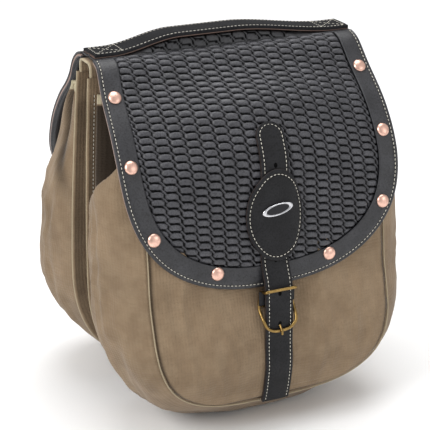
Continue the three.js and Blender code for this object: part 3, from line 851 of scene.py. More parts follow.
def gusset_section(u, v):
    """(x, height) of the gusset between its root on the back panel and the face panel, before it bulges."""
    root = {**inset(BACK_PANEL, SEAM_FLANGE), "top": FACE_PANEL["top"]}
    return on_outline(root, u).lerp(on_outline(FACE_PANEL, u), v)


def gusset_fold(u, v, side):
    """The slanting fold near the top: 0 behind it, where the canvas is folded in, 1 in front of it."""
    down = 1 - abs(2 * u - 1)
    if side == "front":
        fold_at = 0.97 * (1 - smooth(down, 0.02, 0.35)) ** 0.9
    else:
        fold_at = 0.62 * (1 - smooth(down, 0.03, 0.44))
    return smooth(v, fold_at - 0.05, fold_at + 0.13)


def gusset_out(u, v, side):
    """How far the gusset stands out: folded in behind the flap, full at the sides and round the seam."""
    s = sizes()
    rear = side == "rear"
    down = 1 - abs(2 * u - 1)
    across = min(max(v, 0), 1)
    full = 1 - abs((across - 0.47) / 0.53) ** 3.2
    if across < 0.45:
        full = math.sin(math.pi * across**1.15) ** 0.8
    bulge = mm(s.gusset_bulge) * (1.0 if rear else 0.97)
    corner = lerp(bulge * smooth(down, 0.0, 0.26 if rear else 0.24), 23, smooth(down, 0.5, 0.72))
    amount = lerp(corner, 22, smooth(down, 0.8, 1))
    if rear:
        # Less full, it hangs straight down from under its flap, with one shallow slanting fold.
        straight = (BACK_PANEL["top_half"] - FACE_PANEL["top_half"] - SEAM_FLANGE + REAR_SLACK) * across
        groove = 8 * math.exp(-(((across - 0.75 * (1 - smooth(down, 0.03, 0.44))) / 0.07) ** 2))
        straight = (straight - groove) * (1 - smooth(across, 0.9, 1.0))
        out = lerp(straight, amount * full, smooth(down, 0.04, 0.34))
    else:
        tuck = -mm(s.gusset_tuck) * (1 - smooth(down, 0.16, 0.35))
        tuck = tuck * smooth(across, 0.035, 0.3) * (1 - across**3)
        out = lerp(tuck, amount * full, gusset_fold(u, v, side))
    seed = 2.3 if side == "front" else 9.1
    soft = math.sin(math.pi * across) ** 0.8
    out += mm(s.fold_depth) * soft_fold(u * 6, v, seed) * soft * smooth(down, 0.1, 0.4)
    out += 3.2 * ripple(v * 8 + seed, u * 5.0, 3.0) * soft * smooth(down, 0.02, 0.2)
    return out


def on_gusset(u, v, out, side):
    """A point of the gusset's outer face, in millimetres."""
    nudge = 0.002
    before, after = gusset_section(max(u - nudge, 0), v), gusset_section(min(u + nudge, 1), v)
    along = (after - before).normalized()
    flat = gusset_section(u, v)
    lift = gusset_out(u, v, side) + out
    height = flat.y - along.x * lift
    front = face_drape.at(face_drape.run_at(max(min(height, FACE_TOP), -348)), -SEAM_DEPTH).x
    depth = lerp(GUSSET_BACK, front, v)
    return Vector((flat.x + along.y * lift, -depth, height))


def build_gusset(side):
    """The canvas that goes round the pouch from its back panel to its face panel."""

    def place(u, v):
        point = on_gusset(u, v, 0, side)
        down = 1 - abs(2 * u - 1)
        hem = 0.8 if down < 0.03 else 0.0
        # Painted shade: the canvas folded in behind the flap, and the rear pouch's slanting fold, get a
        # negative tone that darkens them.
        if side == "front":
            inside = (1 - gusset_fold(u, v, side)) * smooth(v, -0.02, 0.03) * (1 - smooth(down, 0.22, 0.34))
        else:
            fold_at = 0.75 * (1 - smooth(down, 0.03, 0.44))
            inside = 0.85 * math.exp(-(((v - fold_at) / 0.12) ** 2)) * (1 - smooth(down, 0.2, 0.38))
        return point, (u * 0.95, v * 0.12), hem - 1.1 * inside * (1 - hem)

    piece = finish_piece(f"gusset_{side}_canvas", warped_grid(260, 36, place), Finish.get("canvas"), side)
    outward(piece, side)
    thicken(piece, 1.6)
    return put(piece, f"pouch_{side}_body", "canvas", f"gusset_{side}")


def outward(piece, side, centre=None):
    """Turns an open sheet's faces to point away from the pouch's middle."""
    middle = side_matrix(side) @ Vector(centre or (0, -70, -180))
    bm = bmesh.new()
    bm.from_mesh(piece.data)
    votes = sum(f.normal.dot(f.calc_center_median() - middle) * f.calc_area() for f in bm.faces)
    if votes < 0:
        bmesh.ops.reverse_faces(bm, faces=bm.faces)
    bm.to_mesh(piece.data)
    bm.free()


def build_back_panel(side):
    """The flat canvas panel that hangs from the bridge, with its folded edge standing out past the gusset."""

    def place(u, v):
        # v runs over the front face, round the folded edge and back over the rear face.
        angle = v * 2
        near = angle <= 1
        reach = angle if near else 2 - angle
        edge = 1 - (1 - min(reach, 1)) ** 1.6
        spot = on_outline(BACK_PANEL, u)
        inner = Vector((spot.x * 0.02, lerp(spot.y, -200, 0.9) if spot.y < -200 else spot.y))
        flat = inner.lerp(spot, edge)
        rim = smooth(reach, 0.9, 1.0)
        thickness = lerp(BACK_CANVAS / 2, 0.2, rim**3)
        depth = BACK_DEPTH + BACK_CANVAS / 2 + (thickness if near else -thickness)
        down = 1 - abs(2 * u - 1)
        wave = 0.9 * ripple(down * 14, 4.0, 1.0 if side == "front" else 6.0) * smooth(reach, 0.8, 1.0)
        # The panel's outer strip lies in the shade between the two pouches.
        shade = smooth(edge, 0.88, 0.94) * (1 - smooth(edge, 0.975, 0.99)) * (0.5 if near else 0.35)
        shade *= smooth(-spot.y, 20, 60) * (1 - smooth(-spot.y, 250, 330))
        tone = smooth(edge, 0.993, 0.9988) * 0.42 - shade
        return Vector((flat.x, -(depth + wave), flat.y)), (u * 0.9, edge * 0.15), tone

    bm = warped_grid(200, 60, place)
    piece = finish_piece(f"back_panel_{side}_canvas", bm, Finish.get("canvas"), side)
    matrix = side_matrix(side)
    start, end = (matrix @ Vector((0, -14.5, z)) for z in (-8, -28))
    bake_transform(piece, "bridge", f"pouch_{side}_body", start=start, end=end)
    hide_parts(f"back_panel_{side}")
    return piece


def on_face(x, height, out=0.0):
    """A point over the face panel, front side, in millimetres."""
    spot = face_drape.at(face_drape.run_at(height), out)
    return Vector((x, -spot.x, spot.y))


def build_face_panel(side):
    """The canvas panel at the front of the pouch: full below the flap, pinched along its seam."""
    seed = 1.7 if side == "front" else 5.9

    def place(u, v):
        outline = on_outline(inset(FACE_PANEL, -0.5), v / 2)
        reach = 2 * u - 1
        x = -outline.x * reach
        span = max(abs(outline.x), 1.0)
        gap = (1 - abs(reach)) * span
        bottom = outline.y - FACE_PANEL["bottom"]
        gap = min(gap, bottom * 0.9 + 0.2)
        pinch = 2.6 * math.exp(-((gap / 2.4) ** 2))
        pucker = 1.3 * math.exp(-gap / 10) * ripple(v * 42, reach * 1.5, seed)
        off_strap = smooth(abs(x), 20, 48)
        full = 3.0 * off_strap * smooth(gap, 2, 42) * (1 - smooth(-outline.y, 300, 345))
        fold = 2.6 * soft_fold(outline.y / 90 + 3, x / 110, seed) * off_strap * smooth(gap, 3, 25)
        out = full + fold + pucker - pinch
        # Painted shade: a dark line in the crevice beside the seam.
        tone = -0.8 * math.exp(-(((gap - 1.6) / 1.7) ** 2))
        return on_face(x, outline.y, out), (x * MM, outline.y * MM), tone

    bm = warped_grid(150, 150, place, merge=0.02)
    piece = finish_piece(f"face_panel_{side}_canvas", bm, Finish.get("canvas"), side)
    outward(piece, side)
    thicken(piece, 1.8)
    return put(piece, f"pouch_{side}_body", "canvas", f"face_panel_{side}")


def build_welt(side):
    """The thin pale bead that is sewn into the seam round the face panel."""
    path = []
    for i in range(61):
        spot = on_outline(inset(FACE_PANEL, -1.3), i / 60)
        inside = on_outline(FACE_PANEL, i / 60)
        depth = face_drape.at(face_drape.run_at(inside.y), -1.1).x
        path.append(Vector((spot.x, -depth, spot.y)))
    bm = tube(path, 0.7, sides=8, steps=360)
    tone = bm.verts.layers.float["tone"]
    for vert in bm.verts:
        vert[tone] = 0.3
    piece = finish_piece(f"welt_{side}_bead", bm, Finish.get("canvas"), side)
    return put(piece, f"pouch_{side}_body", "canvas", f"welt_{side}")


def build_bridge():
    """The canvas that crosses the rack, bent into a narrow arch with pale cut ends."""
    inner, bend = BRIDGE_HALF_DEPTH, BRIDGE_BEND
    line = [(-inner, -BRIDGE_LEG), (-inner, -10), (-inner, -8)]
    line += [
        (
            -inner + bend * (1 - math.cos(a)), -bend + bend * math.sin(a)
        ) for a in (math.pi / 12 * i for i in range(1, 7))
    ]
    line += [(-y, z) for y, z in reversed(line)]

    def place(u, v):
        spot = catmull([Vector((y, z, 0)) for y, z in line], v)
        x = lerp(-BRIDGE_HALF_LENGTH, BRIDGE_HALF_LENGTH, u)
        tone = smooth(abs(2 * u - 1), 0.99, 0.996) * 0.45
        return Vector((x, spot.x, spot.y)), (x * MM, v * 0.06), tone

    piece = finish_piece("bridge_canvas", warped_grid(120, 40, place), Finish.get("canvas"))
    outward(piece, "front", (0, 0, -40))
    thicken(piece, BRIDGE_CANVAS, offset=1.0)
    return put(piece, "bridge", "canvas", "canvas_bridge")


# ---- leather pieces ----
def leather_ribbon(line, section, cap=True):
    """A strip swept along a line: line(i) gives place(inward, out), section (inward, out, tone)."""
    count = len(line)
    ring = len(section)

    def place(u, v):
        i = min(round(u * (count - 1)), count - 1)
        k = round(v * ring) % ring
        inward, out, tone = section[k]
        return line[i](inward, out), (u * 0.8, inward * MM), tone

    bm = warped_grid(count - 1, ring, place)
    if cap:
        cap_ends(bm)
    return bm


def flap_outline(steps, margin=0.0):
    """(x, run) points round the flap's edge in its flat pattern, evenly spaced, and the way in at each."""
    start = 0.5 * 0.5 * (FLAP["top"] - RIDGE_TOP) / (FLAP["top"] - FLAP["shoulder"])
    raw = []
    for i in range(801):
        spot = on_outline(FLAP, lerp(start, 1 - start, i / 800))
        raw.append(Vector((spot.x, flap_drape.run_at(spot.y))))
    even = spread(raw, sum((b - a).length for a, b in zip(raw, raw[1:])) / steps)
    points = [(raw[0], (raw[1] - raw[0]).normalized())] + even + [(raw[-1], (raw[-1] - raw[-2]).normalized())]
    result = []
    for spot, along in points:
        way_in = Vector((along.y, -along.x))
        if way_in.dot(Vector((0, 100)) - spot) < 0:
            way_in.negate()
        result.append((spot + way_in * margin, way_in))
    return result


# Columns: inward, out, tone. Positive tones are the undyed cut edge; negative tones paint shade into the
# stitch groove and under the strip's inner edge.
BORDER_SECTION = (
    (0.15, -2.0, 0.2), (-0.1, -1.3, 0.1), (0.0, -0.6, 0.0), (0.5, -0.05, 0.0), (1.6, 0.12, 0.0),
    (2.7, 0.05, 0.0),
    (3.2, -0.3, -0.35), (3.7, -0.42, -0.5), (4.2, -0.3, -0.35), (4.8, 0.08, 0.0), (8.0, 0.2, 0.0),
    (14.0, 0.2, 0.0),
    (19.0, 0.25, 0.0), (20.6, 0.3, 0.0), (21.4, 0.05, 0.0), (21.9, -0.5, -0.2), (22.0, -2.0, -0.8),
    (11.0, -2.0, 0.0),
)  # fmt: skip


def build_flap_border(side):
    """The smooth strip sewn round the flap's edge, with its stitch groove and undyed cut edge."""
    width = mm(sizes().border_width) / 22
    line = []
    for spot, way_in in flap_outline(300):

        def at(inward, out, spot=spot, way_in=way_in):
            flat = spot + way_in * inward * (width if inward > 5 else 1)
            return on_flap(flat.x, max(flat.y, 0), out)

        line.append(at)
    piece = finish_piece(
        f"flap_border_{side}_strip", leather_ribbon(line, BORDER_SECTION), Finish.get("smooth"), side
    )
    return put(piece, f"flap_{side}_body", "smooth_leather", f"flap_border_{side}")


CORE_SECTION = (
    (1.0, -5.6, 0.0), (0.6, -4.8, 0.1), (0.4, -4.0, 0.75), (0.4, -3.0, 0.8), (0.6, -2.4, 0.6),
    (6.0, -2.3, 0.0), (24.0, -3.6, 0.0),
    (25.0, -4.6, 0.0), (24.0, -5.6, 0.0), (12.0, -5.7, 0.0),
)  # fmt: skip


def build_flap_core(side):
    """The rim of the embossed leather under the border, which shows as a pale edge."""
    line = []
    for spot, way_in in flap_outline(240):

        def at(inward, out, spot=spot, way_in=way_in):
            flat = spot + way_in * inward
            return on_flap(flat.x, max(flat.y, 0), out)

        line.append(at)
    piece = finish_piece(
        f"flap_core_{side}_leather", leather_ribbon(line, CORE_SECTION), Finish.get("smooth"), side
    )
    return put(piece, f"flap_{side}_body", "smooth_leather")


def weave_height(x, run):
    """The basket stamp at a place on the flap, from 0 in the grooves to 1 on the lozenges."""
    s = sizes()
    pitch, row = mm(s.weave_length), mm(s.weave_row)
    best = 0.0
    column = math.floor(x / pitch + 0.5)
    for i in (column - 1, column, column + 1):
        a = x / pitch - i
        r = run / row - 0.5 * (i % 2) - 0.25 * a
        b = r - math.floor(r) - 0.5
        # A lozenge: flat on top, full along its lower edge, drawn to a point at its ends.
        b2 = b + 0.08 - 0.42 * a * a
        d = (abs(a) / 0.46) ** 2.6 + (abs(b2) / 0.4) ** 3.0
        best = max(best, max(1 - d, 0) ** 0.34)
    # The thin strand that slips down from one column to the next.
    edge = math.floor(x / pitch)
    c = x / pitch - edge - 0.5
    slip = run / row - 0.5 * ((edge + 1) % 2) - 0.25 - 0.5 * math.tanh(c * 5.0)
    e = slip - math.floor(slip) - 0.5
    strand = 0.8 * math.exp(-((e / 0.2) ** 4)) * math.exp(-((c / 0.2) ** 4))
    return max(best, strand)


def inside_flap(x, run):
    """How far a place on the flap is inside its edge, roughly, in millimetres."""
    height = flap_drape.at(run).y
    if height > FLAP["shoulder"]:
        along = (FLAP["top"] - height) / (FLAP["top"] - FLAP["shoulder"])
        return lerp(FLAP["top_half"], FLAP["half"], math.sin(along * math.pi / 2)) - abs(x)
    drop = (FLAP["shoulder"] - height) / (FLAP["shoulder"] - FLAP["bottom"])
    share = (abs(x) / FLAP["half"]) ** FLAP["power"] + min(drop, 1.2) ** FLAP["power"]
    return (1 - share ** (1 / FLAP["power"])) * lerp(FLAP["half"], 129, min(drop, 1) ** 2)


def build_flap_weave(side):
    """The embossed leather of the flap, its basket stamp modelled in the mesh."""
    s = sizes()
    depth = mm(s.weave_depth)
    wide = FLAP["half"] - 12
    last = flap_drape.run_at(FLAP["bottom"] + 12)
    rows = int(s.weave_steps * last / (2 * wide) * 1.6)

    def place(u, v):
        x, run = lerp(-wide, wide, u), lerp(0, last, v)
        under = 1 - smooth(inside_flap(x, run), 20.5, 25)
        height = weave_height(x, run)
        out = WEAVE_OUT + depth * height * (1 - under) - 0.7 * under
        # The weave's grooves get a negative tone: painted shade.
        return on_flap(x, run, out), (x * MM, run * MM), -1.1 * (1 - smooth(height, 0.15, 0.75))

    bm = warped_grid(s.weave_steps, rows, place, merge=0)
    gone = [f for f in bm.faces if inside_flap(f.calc_center_median().x, run_of(f.calc_center_median())) < 14]
    bmesh.ops.delete(bm, geom=gone, context="FACES")
    piece = finish_piece(f"flap_panel_{side}_embossed", bm, Finish.get("embossed"), side)
    outward(piece, side, (0, -20, -200))
    return put(piece, f"flap_{side}_body", "embossed_leather", f"flap_panel_{side}")


def run_of(point):
    """The distance down the flap of a point near its surface."""
    return flap_drape.run_at(point.z)


def build_flap_lining(side):
    """The thin leather that lines the flap's underside."""
    def place(u, v):
        spot = on_outline(inset(FLAP, 2.5), lerp(0.034, 0.5, v))
        x = lerp(-abs(spot.x), abs(spot.x), u)
        return on_flap(x, flap_drape.run_at(spot.y), -5.9), (x * MM, spot.y * MM), 0.0

    piece = finish_piece(
        f"flap_lining_{side}_leather", warped_grid(60, 90, place, merge=0.02), Finish.get("smooth"), side
    )
    outward(piece, side, (0, -20, -200))
    thicken(piece, 0.9)
    return put(piece, f"flap_{side}_body", "leather_lining", f"flap_lining_{side}")


def build_rivets(side):
    """Domed copper caps with a thin rim, riveted through the flap's border."""
    bm = bmesh.new()
    profile = [(RIVET_RADIUS - 0.5, 0.0), (RIVET_RADIUS, 0.35), (RIVET_RADIUS - 0.1, 0.8)]
    for i in range(1, 9):
        angle = math.pi / 2 * i / 8
        profile.append(((RIVET_RADIUS - 0.3) * math.cos(angle), 0.8 + (RIVET_HEIGHT - 0.8) * math.sin(angle)))
    for x, height in RIVET_PLACES:
        for sign in (-1, 1):
            verts = [bm.verts.new((r, 0, z)) for r, z in profile]
            edges = [bm.edges.new(pair) for pair in zip(verts, verts[1:])]
            spun = bmesh.ops.spin(
                bm,
                geom=verts + edges,
                axis=(0, 0, 1),
                cent=(0, 0, 0),
                angle=2 * math.pi,
                steps=28,
                use_merge=True,
                use_duplicate=False,
            )
            whole = {
                v for g in (verts, edges, spun["geom_last"]) for v in g if isinstance(v, bmesh.types.BMVert)
            }
            seen, grow = set(), list(whole)
            while grow:
                vert = grow.pop()
                if vert in seen:
                    continue
                seen.add(vert)
                grow += [e.other_vert(vert) for e in vert.link_edges]
            stand = surface_frame(on_flap, sign * x, flap_drape.run_at(height), 0.15)
            bmesh.ops.transform(bm, matrix=stand, verts=list(seen))
    bmesh.ops.remove_doubles(bm, verts=bm.verts, dist=1e-3)
    cap_ends(bm)
    piece = finish_piece(f"rivets_{side}_copper", bm, Finish.get("copper"), side)
    nodes = [f"rivet_{side}_{hand}_{i}" for hand in ("left", "right") for i in range(1, 5)]
    return put(piece, f"flap_{side}_body", "copper", *nodes)


def patch_lift(x):
    """How far the oval patch stands off the flap: sewn down at its sides, humped over the strap."""
    clear = STRAP_WIDTH / 2 + 1.0
    slope = 1 - smooth(abs(x), clear, PATCH["half_width"] - 3)
    return lerp(0.3, STRAP_OUT + STRAP_LEATHER + 0.6, slope)


def on_patch(x, run, out=0.0):
    """A point over the patch's underside, front side, in millimetres."""
    return on_flap(x, run, patch_lift(x - 2) + out)


def patch_spot(angle, reach):
    """(x, run) in the patch's oval at an angle and a share of the way to its edge."""
    centre = flap_drape.run_at(PATCH["centre"])
    tall = flap_drape.run_at(PATCH["centre"] - PATCH["half_height"]) - centre
    return 2 + PATCH["half_width"] * reach * math.cos(angle), centre + tall * reach * math.sin(angle)


# Columns: share of the way to the edge, out, tone. Positive tones are the undyed cut edge; negative tones
# paint shade into the stitch groove.
PATCH_SECTION = (
    (0.0, 3.0, 0.0), (0.3, 3.15, 0.0), (0.6, 3.1, 0.0), (0.8, 3.0, 0.0), (0.865, 2.95, 0.0),
    (0.88, 2.7, -0.4),
    (0.893, 2.62, -0.5), (0.906, 2.7, -0.4), (0.92, 2.98, 0.0), (0.955, 2.95, 0.0), (0.985, 2.6, 0.0),
    (1.0, 1.7, 0.25), (0.995, 0.3, 0.3), (0.9, 0.0, 0.0), (0.5, 0.0, 0.0), (0.0, 0.0, 0.0),
)  # fmt: skip


def build_patch(side):
    """The oval leather patch that holds the strap, with a stitched edge."""

    def place(u, v):
        k = min(round(v * (len(PATCH_SECTION) - 1)), len(PATCH_SECTION) - 1)
        reach, out, tone = PATCH_SECTION[k]
        x, run = patch_spot(2 * math.pi * u, reach)
        return on_patch(x, run, out), (x * MM, run * MM), tone

    bm = warped_grid(96, len(PATCH_SECTION) - 1, place, merge=0.005)
    piece = finish_piece(f"keeper_patch_{side}_leather", bm, Finish.get("strap"), side)
    return put(piece, f"flap_{side}_body", "smooth_leather", f"keeper_patch_{side}")


def build_badge(side):
    """A plain polished oval plate with a raised rim and a shallow crowned middle."""
    profile = ((0.0, 1.5), (0.35, 1.5), (0.6, 1.5), (0.72, 1.5), (0.76, 1.6), (0.8, 2.1),
               (0.88, 2.35), (0.95, 2.1),
               (1.0, 1.3), (0.98, 0.2), (0.9, 0.0), (0.0, 0.0))  # fmt: skip
    run = flap_drape.run_at(BADGE["height"])
    stand = surface_frame(on_patch, 2.0, run, PATCH_LEATHER + 0.15) @ Matrix.Rotation(math.radians(9), 4, "Z")

    def place(u, v):
        k = min(round(v * (len(profile) - 1)), len(profile) - 1)
        reach, up = profile[k]
        angle = 2 * math.pi * u
        flat = Vector((BADGE["half_length"] * reach * math.cos(angle),
        BADGE["half_height"] * reach * math.sin(angle), up))
        # The middle inside the rim is darkened to near black through a negative tone.
        return stand @ flat, (u * 0.1, v * 0.01), -1.0 if reach < 0.74 and up > 1 else 0.0

    piece = finish_piece(
        f"badge_{side}_plate",
        warped_grid(64, len(profile) - 1, place, merge=0.004),
        Finish.get("steel"),
        side,
    )
    return put(piece, f"flap_{side}_body", "badge_metal", f"badge_{side}")


def strap_half(run):
    """Half the strap's width at a distance from its round tip."""
    half = STRAP_WIDTH / 2
    if run < half:
        return half * math.sqrt(max(1 - ((half - run) / half) ** 2, 0.0))
    return half


# Columns: share of the half width, out, tone. Positive tones are the undyed cut edge; negative tones paint
# shade into the stitch groove and darken the line between the two layers.
STRAP_SECTION = (
    (1.0, 0.0, 0.1), (1.0, 0.9, 0.35), (0.99, 1.5, -0.6), (1.0, 1.9, 0.3), (0.985, 2.9, 0.05),
    (0.95, 3.35, 0.0),
    (0.87, 3.42, 0.0), (0.82, 3.2, -0.4), (0.79, 3.1, -0.5), (0.76, 3.2, -0.4), (0.71, 3.45, 0.0),
    (0.45, 3.55, 0.0),
    (0.15, 3.6, 0.0),
)  # fmt: skip


def build_strap(side):
    """The long strap of two layers of leather, stitched round its edge and punched down its middle."""
    last = Straps.drape().length
    full = list(STRAP_SECTION) + [(-a, out, tone) for a, out, tone in reversed(STRAP_SECTION)]

    def place(u, v):
        run = lerp(0, 15, (u / 0.12) ** 2) if u < 0.12 else lerp(15, last, (u - 0.12) / 0.88)
        k = round(v * len(full)) % len(full)
        share, out, tone = full[k]
        half = strap_half(run)
        return on_strap(share * half, run, out), (share * 0.015, run * MM), tone

    bm = warped_grid(260, len(full), place, merge=0.004)
    cap_ends(bm)
    piece = finish_piece(f"strap_{side}_leather", bm, Finish.get("strap"), side)
    blend_strap(piece, side)
    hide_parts(f"strap_{side}")
    build_strap_holes(side)
    return piece


def blend_strap(piece, side):
    """Lets a piece bend at the strap's sewn foot."""
    matrix = side_matrix(side)
    start, end = (matrix @ Vector((0, -133, z)) for z in (-341, -322))
    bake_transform(piece, f"pouch_{side}_body", f"strap_{side}_body", start=start, end=end)


def build_strap_holes(side):
    """Dark punched eyes down the strap's middle."""
    bm = bmesh.new()
    for i in range(STRAP_HOLES):
        height = PRONG_HOLE + i * STRAP_HOLE_PITCH
        run = Straps.drape().run_at(height)
        stand = surface_frame(on_strap, 0, run, STRAP_LEATHER + 0.15)
        shape = stand @ Matrix.Diagonal((2.0, 2.6, 0.45, 1))
        bmesh.ops.create_uvsphere(bm, u_segments=16, v_segments=6, radius=1, matrix=shape)
    # Painted shade: tone -1 turns the lumps near black.
    tone = bm.verts.layers.float.new("tone")
    for vert in bm.verts:
        vert[tone] = -1.0
    piece = finish_piece(f"strap_holes_{side}_eyes", bm, Finish.get("smooth"), side)
    blend_strap(piece, side)


def handle_lift(x):
    """How far the handle's underside stands above the ridge: an uneven arch, highest left of the middle."""
    end = HANDLE_HALF_LENGTH - HANDLE_FOOT
    left, right = HANDLE_CREST
    return mm(sizes().handle_rise) * smooth(x, -end - 8, left) * (1 - smooth(x, right, end + 14))


def on_handle(x, y, out=0.0):
    """A point over the handle's underside."""
    return Vector((x, y, HANDLE_BASE + handle_lift(x) + out))


# Columns: share of the half width, out, tone. Positive tones are the undyed cut edge; negative tones paint
# shade into the stitch groove.
HANDLE_SECTION = (
    (1.0, 0.1, 0.5), (1.005, 0.5, 0.55), (1.005, 0.9, 0.3), (1.0, 1.2, 0.0), (0.99, 3.2, 0.0),
    (0.95, 3.95, 0.0),
    (0.86, 4.0, 0.0), (0.82, 3.8, -0.35), (0.8, 3.7, -0.5), (0.78, 3.8, -0.35), (0.73, 4.05, 0.0),
    (0.4, 4.15, 0.0),
    (0.1, 4.2, 0.0),
)  # fmt: skip


def build_handle():
    """The flat leather handle that arches a little above the ridge between its sewn feet."""
    full = list(HANDLE_SECTION) + [(-a, out, tone) for a, out, tone in reversed(HANDLE_SECTION)]
    line = []
    for i in range(161):
        x = lerp(-HANDLE_HALF_LENGTH, HANDLE_HALF_LENGTH, i / 160)
        line.append(lambda share, out, x=x: on_handle(x, -share * HANDLE_WIDTH / 2, out))
    piece = finish_piece("handle_leather", leather_ribbon(line, full), Finish.get("matt"))
    return put(piece, "bridge", "smooth_leather", "handle")


def build_ridge():
    """The leather that joins the flaps over the bridge, arched under the handle and embossed like them."""
    half = RIDGE_HALF_DEPTH - 0.1

    def place(u, v):
        x = lerp(-RIDGE_HALF_LENGTH, RIDGE_HALF_LENGTH, u)
        arch = max(handle_lift(x) - 1.6, 0)
        # v runs up the front, over the top and down the rear.
        reach = abs(2 * v - 1)
        side = -1 if v < 0.5 else 1
        up = smooth(1 - reach, 0, 0.34)
        run = lerp(half, half * 0.2, smooth(1 - reach, 0.3, 1.0)) - 5.0 * up
        base = RIDGE_TOP - 3.3 * (1 - smooth(1 - reach, 0, 0.06))
        stamped = smooth(arch, 1.5, 5) * smooth(1 - reach, 0.04, 0.1) * (1 - smooth(1 - reach, 0.45, 0.6))
        stamp = weave_height(x, -arch * up) * stamped
        point = Vector((x, side * (run + 0.9 * stamp), base + arch * up - 0.4 * stamped))
        # The stamp's grooves get a negative tone: painted shade.
        return point, (x * MM, v * 0.05), -1.1 * (1 - smooth(stamp, 0.15, 0.75)) * stamped

    piece = finish_piece("ridge_leather_strip", warped_grid(420, 64, place, merge=0), Finish.get("smooth"))
    outward(piece, "front", (0, 0, -60))
    thicken(piece, 1.6)
    return put(piece, "bridge", "smooth_leather", "ridge_leather")


# ---- buckle ----
def buckle_depth(height):
    """How far out the buckle's wire is at a height: its arms dip back to the bar."""
    if height > BAR_HEIGHT:
        return lerp(BAR_DEPTH - 1.5, BUCKLE_DEPTH, smooth(height, BUCKLE_TOP - 4, BUCKLE_TOP - 0.5))
    return lerp(BAR_DEPTH - 1.5, BUCKLE_DEPTH, smooth(BAR_HEIGHT - height, 0, BUCKLE_DIP))


def build_keeper_tabs(side):
    """The leather keeper behind the strap, which hides the upper ends of the buckle's arms."""
    bm = bmesh.new()
    for near, far in KEEPER_TABS:
        spot = Vector(((near + far) / 2, -(BAR_DEPTH + WIRE_RADIUS + 1.1), BUCKLE_TOP - 9.5))
        shape = Matrix.Diagonal((far - near, 1.4, 15.0, 1))
        made = bmesh.ops.create_cube(bm, size=1, matrix=Matrix.Translation(spot) @ shape)
        edges = list({e for v in made["verts"] for e in v.link_edges})
        bmesh.ops.bevel(bm, geom=edges, offset=0.6, segments=3, profile=0.6, affect="EDGES")
    piece = finish_piece(f"chape_keeper_{side}_leather", bm, Finish.get("strap"), side)
    return put(piece, f"buckle_{side}_body", "smooth_leather")


def build_buckle(side):
    """The horseshoe frame and its prong, bent from drawn brass wire."""
    half, top = BUCKLE_HALF_WIDTH, BUCKLE_TOP_HALF
    centre = BUCKLE_BOTTOM + half
    spots = [(0, BUCKLE_TOP), (top * 0.5, BUCKLE_TOP), (top - 1.5, BUCKLE_TOP), (top, BUCKLE_TOP - 1.5)]
    spots += [
        (top + 0.3, BUCKLE_TOP - 5),
        (half - 0.5, BAR_HEIGHT + 7),
        (half, BAR_HEIGHT),
        (half + 0.3, BAR_HEIGHT - 5),
    ]
    for i in range(1, 8):
        angle = math.pi / 2 * i / 7
        spots.append(
            (half * math.cos(angle) ** 0.8 if i < 7 else 0.0, centre - half * math.sin(angle) ** 0.8)
        )
    spots += [(-x, height) for x, height in reversed(spots[1:-1])]
    path = [Vector((x, -buckle_depth(height), height)) for x, height in spots]
    build_keeper_tabs(side)
    frame_wire = finish_piece(
        f"buckle_frame_{side}_wire", tube(path, WIRE_RADIUS, 14, True, 168), Finish.get("brass"), side
    )
    put(frame_wire, f"buckle_{side}_body", "buckle_brass", f"buckle_frame_{side}")
    eye = BAR_RADIUS + 0.3 + PRONG_RADIUS
    rest = BUCKLE_DEPTH + WIRE_RADIUS + 0.3 + PRONG_RADIUS
    bend = []
    for i in range(9):
        angle = 1.5 * math.pi * i / 8
        bend.append((BAR_DEPTH + eye * math.cos(angle), BAR_HEIGHT + eye * math.sin(angle)))
    bend += [
        (BAR_DEPTH + 1.2, BAR_HEIGHT - 9), (BAR_DEPTH + 2.8, PRONG_HOLE + 3.5), (rest - 5.2, PRONG_HOLE - 1.5)
    ]
    bend += [(rest, BUCKLE_BOTTOM + 0.5), (rest + 0.2, BUCKLE_BOTTOM - 3)]
    path = [Vector((0, -depth, height)) for depth, height in bend]
    prong = finish_piece(
        f"buckle_prong_{side}_wire", tube(path, PRONG_RADIUS, 12, False, 90), Finish.get("brass"), side
    )
    put(prong, f"prong_{side}_body", "buckle_brass", f"buckle_prong_{side}")


# ---- stitching ----
def stitch_piece(name, bm, body, side=None, place=None):
    """Finishes a mesh of stitches and rides it on its body."""
    piece = finish_piece(name, bm, Finish.get("thread"), side, recalc=False)
    if place:
        place(piece, side)
    else:
        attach(piece, body)
    return piece


def build_flap_stitches(side):
    """The row round the flap's border and the row round the patch."""
    bm = bmesh.new()
    gap = mm(sizes().stitch_inset)
    spots = [(p.x, max(p.y, 1)) for p, _ in flap_outline(300, margin=gap)]
    surface_row(bm, on_flap, spots, 0.05)
    oval = [patch_spot(2 * math.pi * i / 160, 0.893) for i in range(161)]
    surface_row(bm, on_patch, oval, 2.95)
    stitch_piece(f"stitches_flap_{side}", bm, f"flap_{side}_body", side)


def build_strap_stitches(side):
    """The row that goes up one edge of the strap, round its tip and down the other."""
    bm = bmesh.new()
    last = Straps.drape().length - 2
    inset_by = 0.79
    half = STRAP_WIDTH / 2 * inset_by
    start = STRAP_WIDTH / 2
    spots = [(-half, lerp(last, start, i / 120)) for i in range(120)]
    spots += [
        (-half * math.cos(math.pi * i / 30), start - half * math.sin(math.pi * i / 30)) for i in range(31)
    ]
    spots += [(half, lerp(start, last, i / 120)) for i in range(1, 121)]
    surface_row(bm, on_strap, spots, STRAP_LEATHER - 0.05)
    stitch_piece(f"stitches_strap_{side}", bm, None, side, blend_strap)


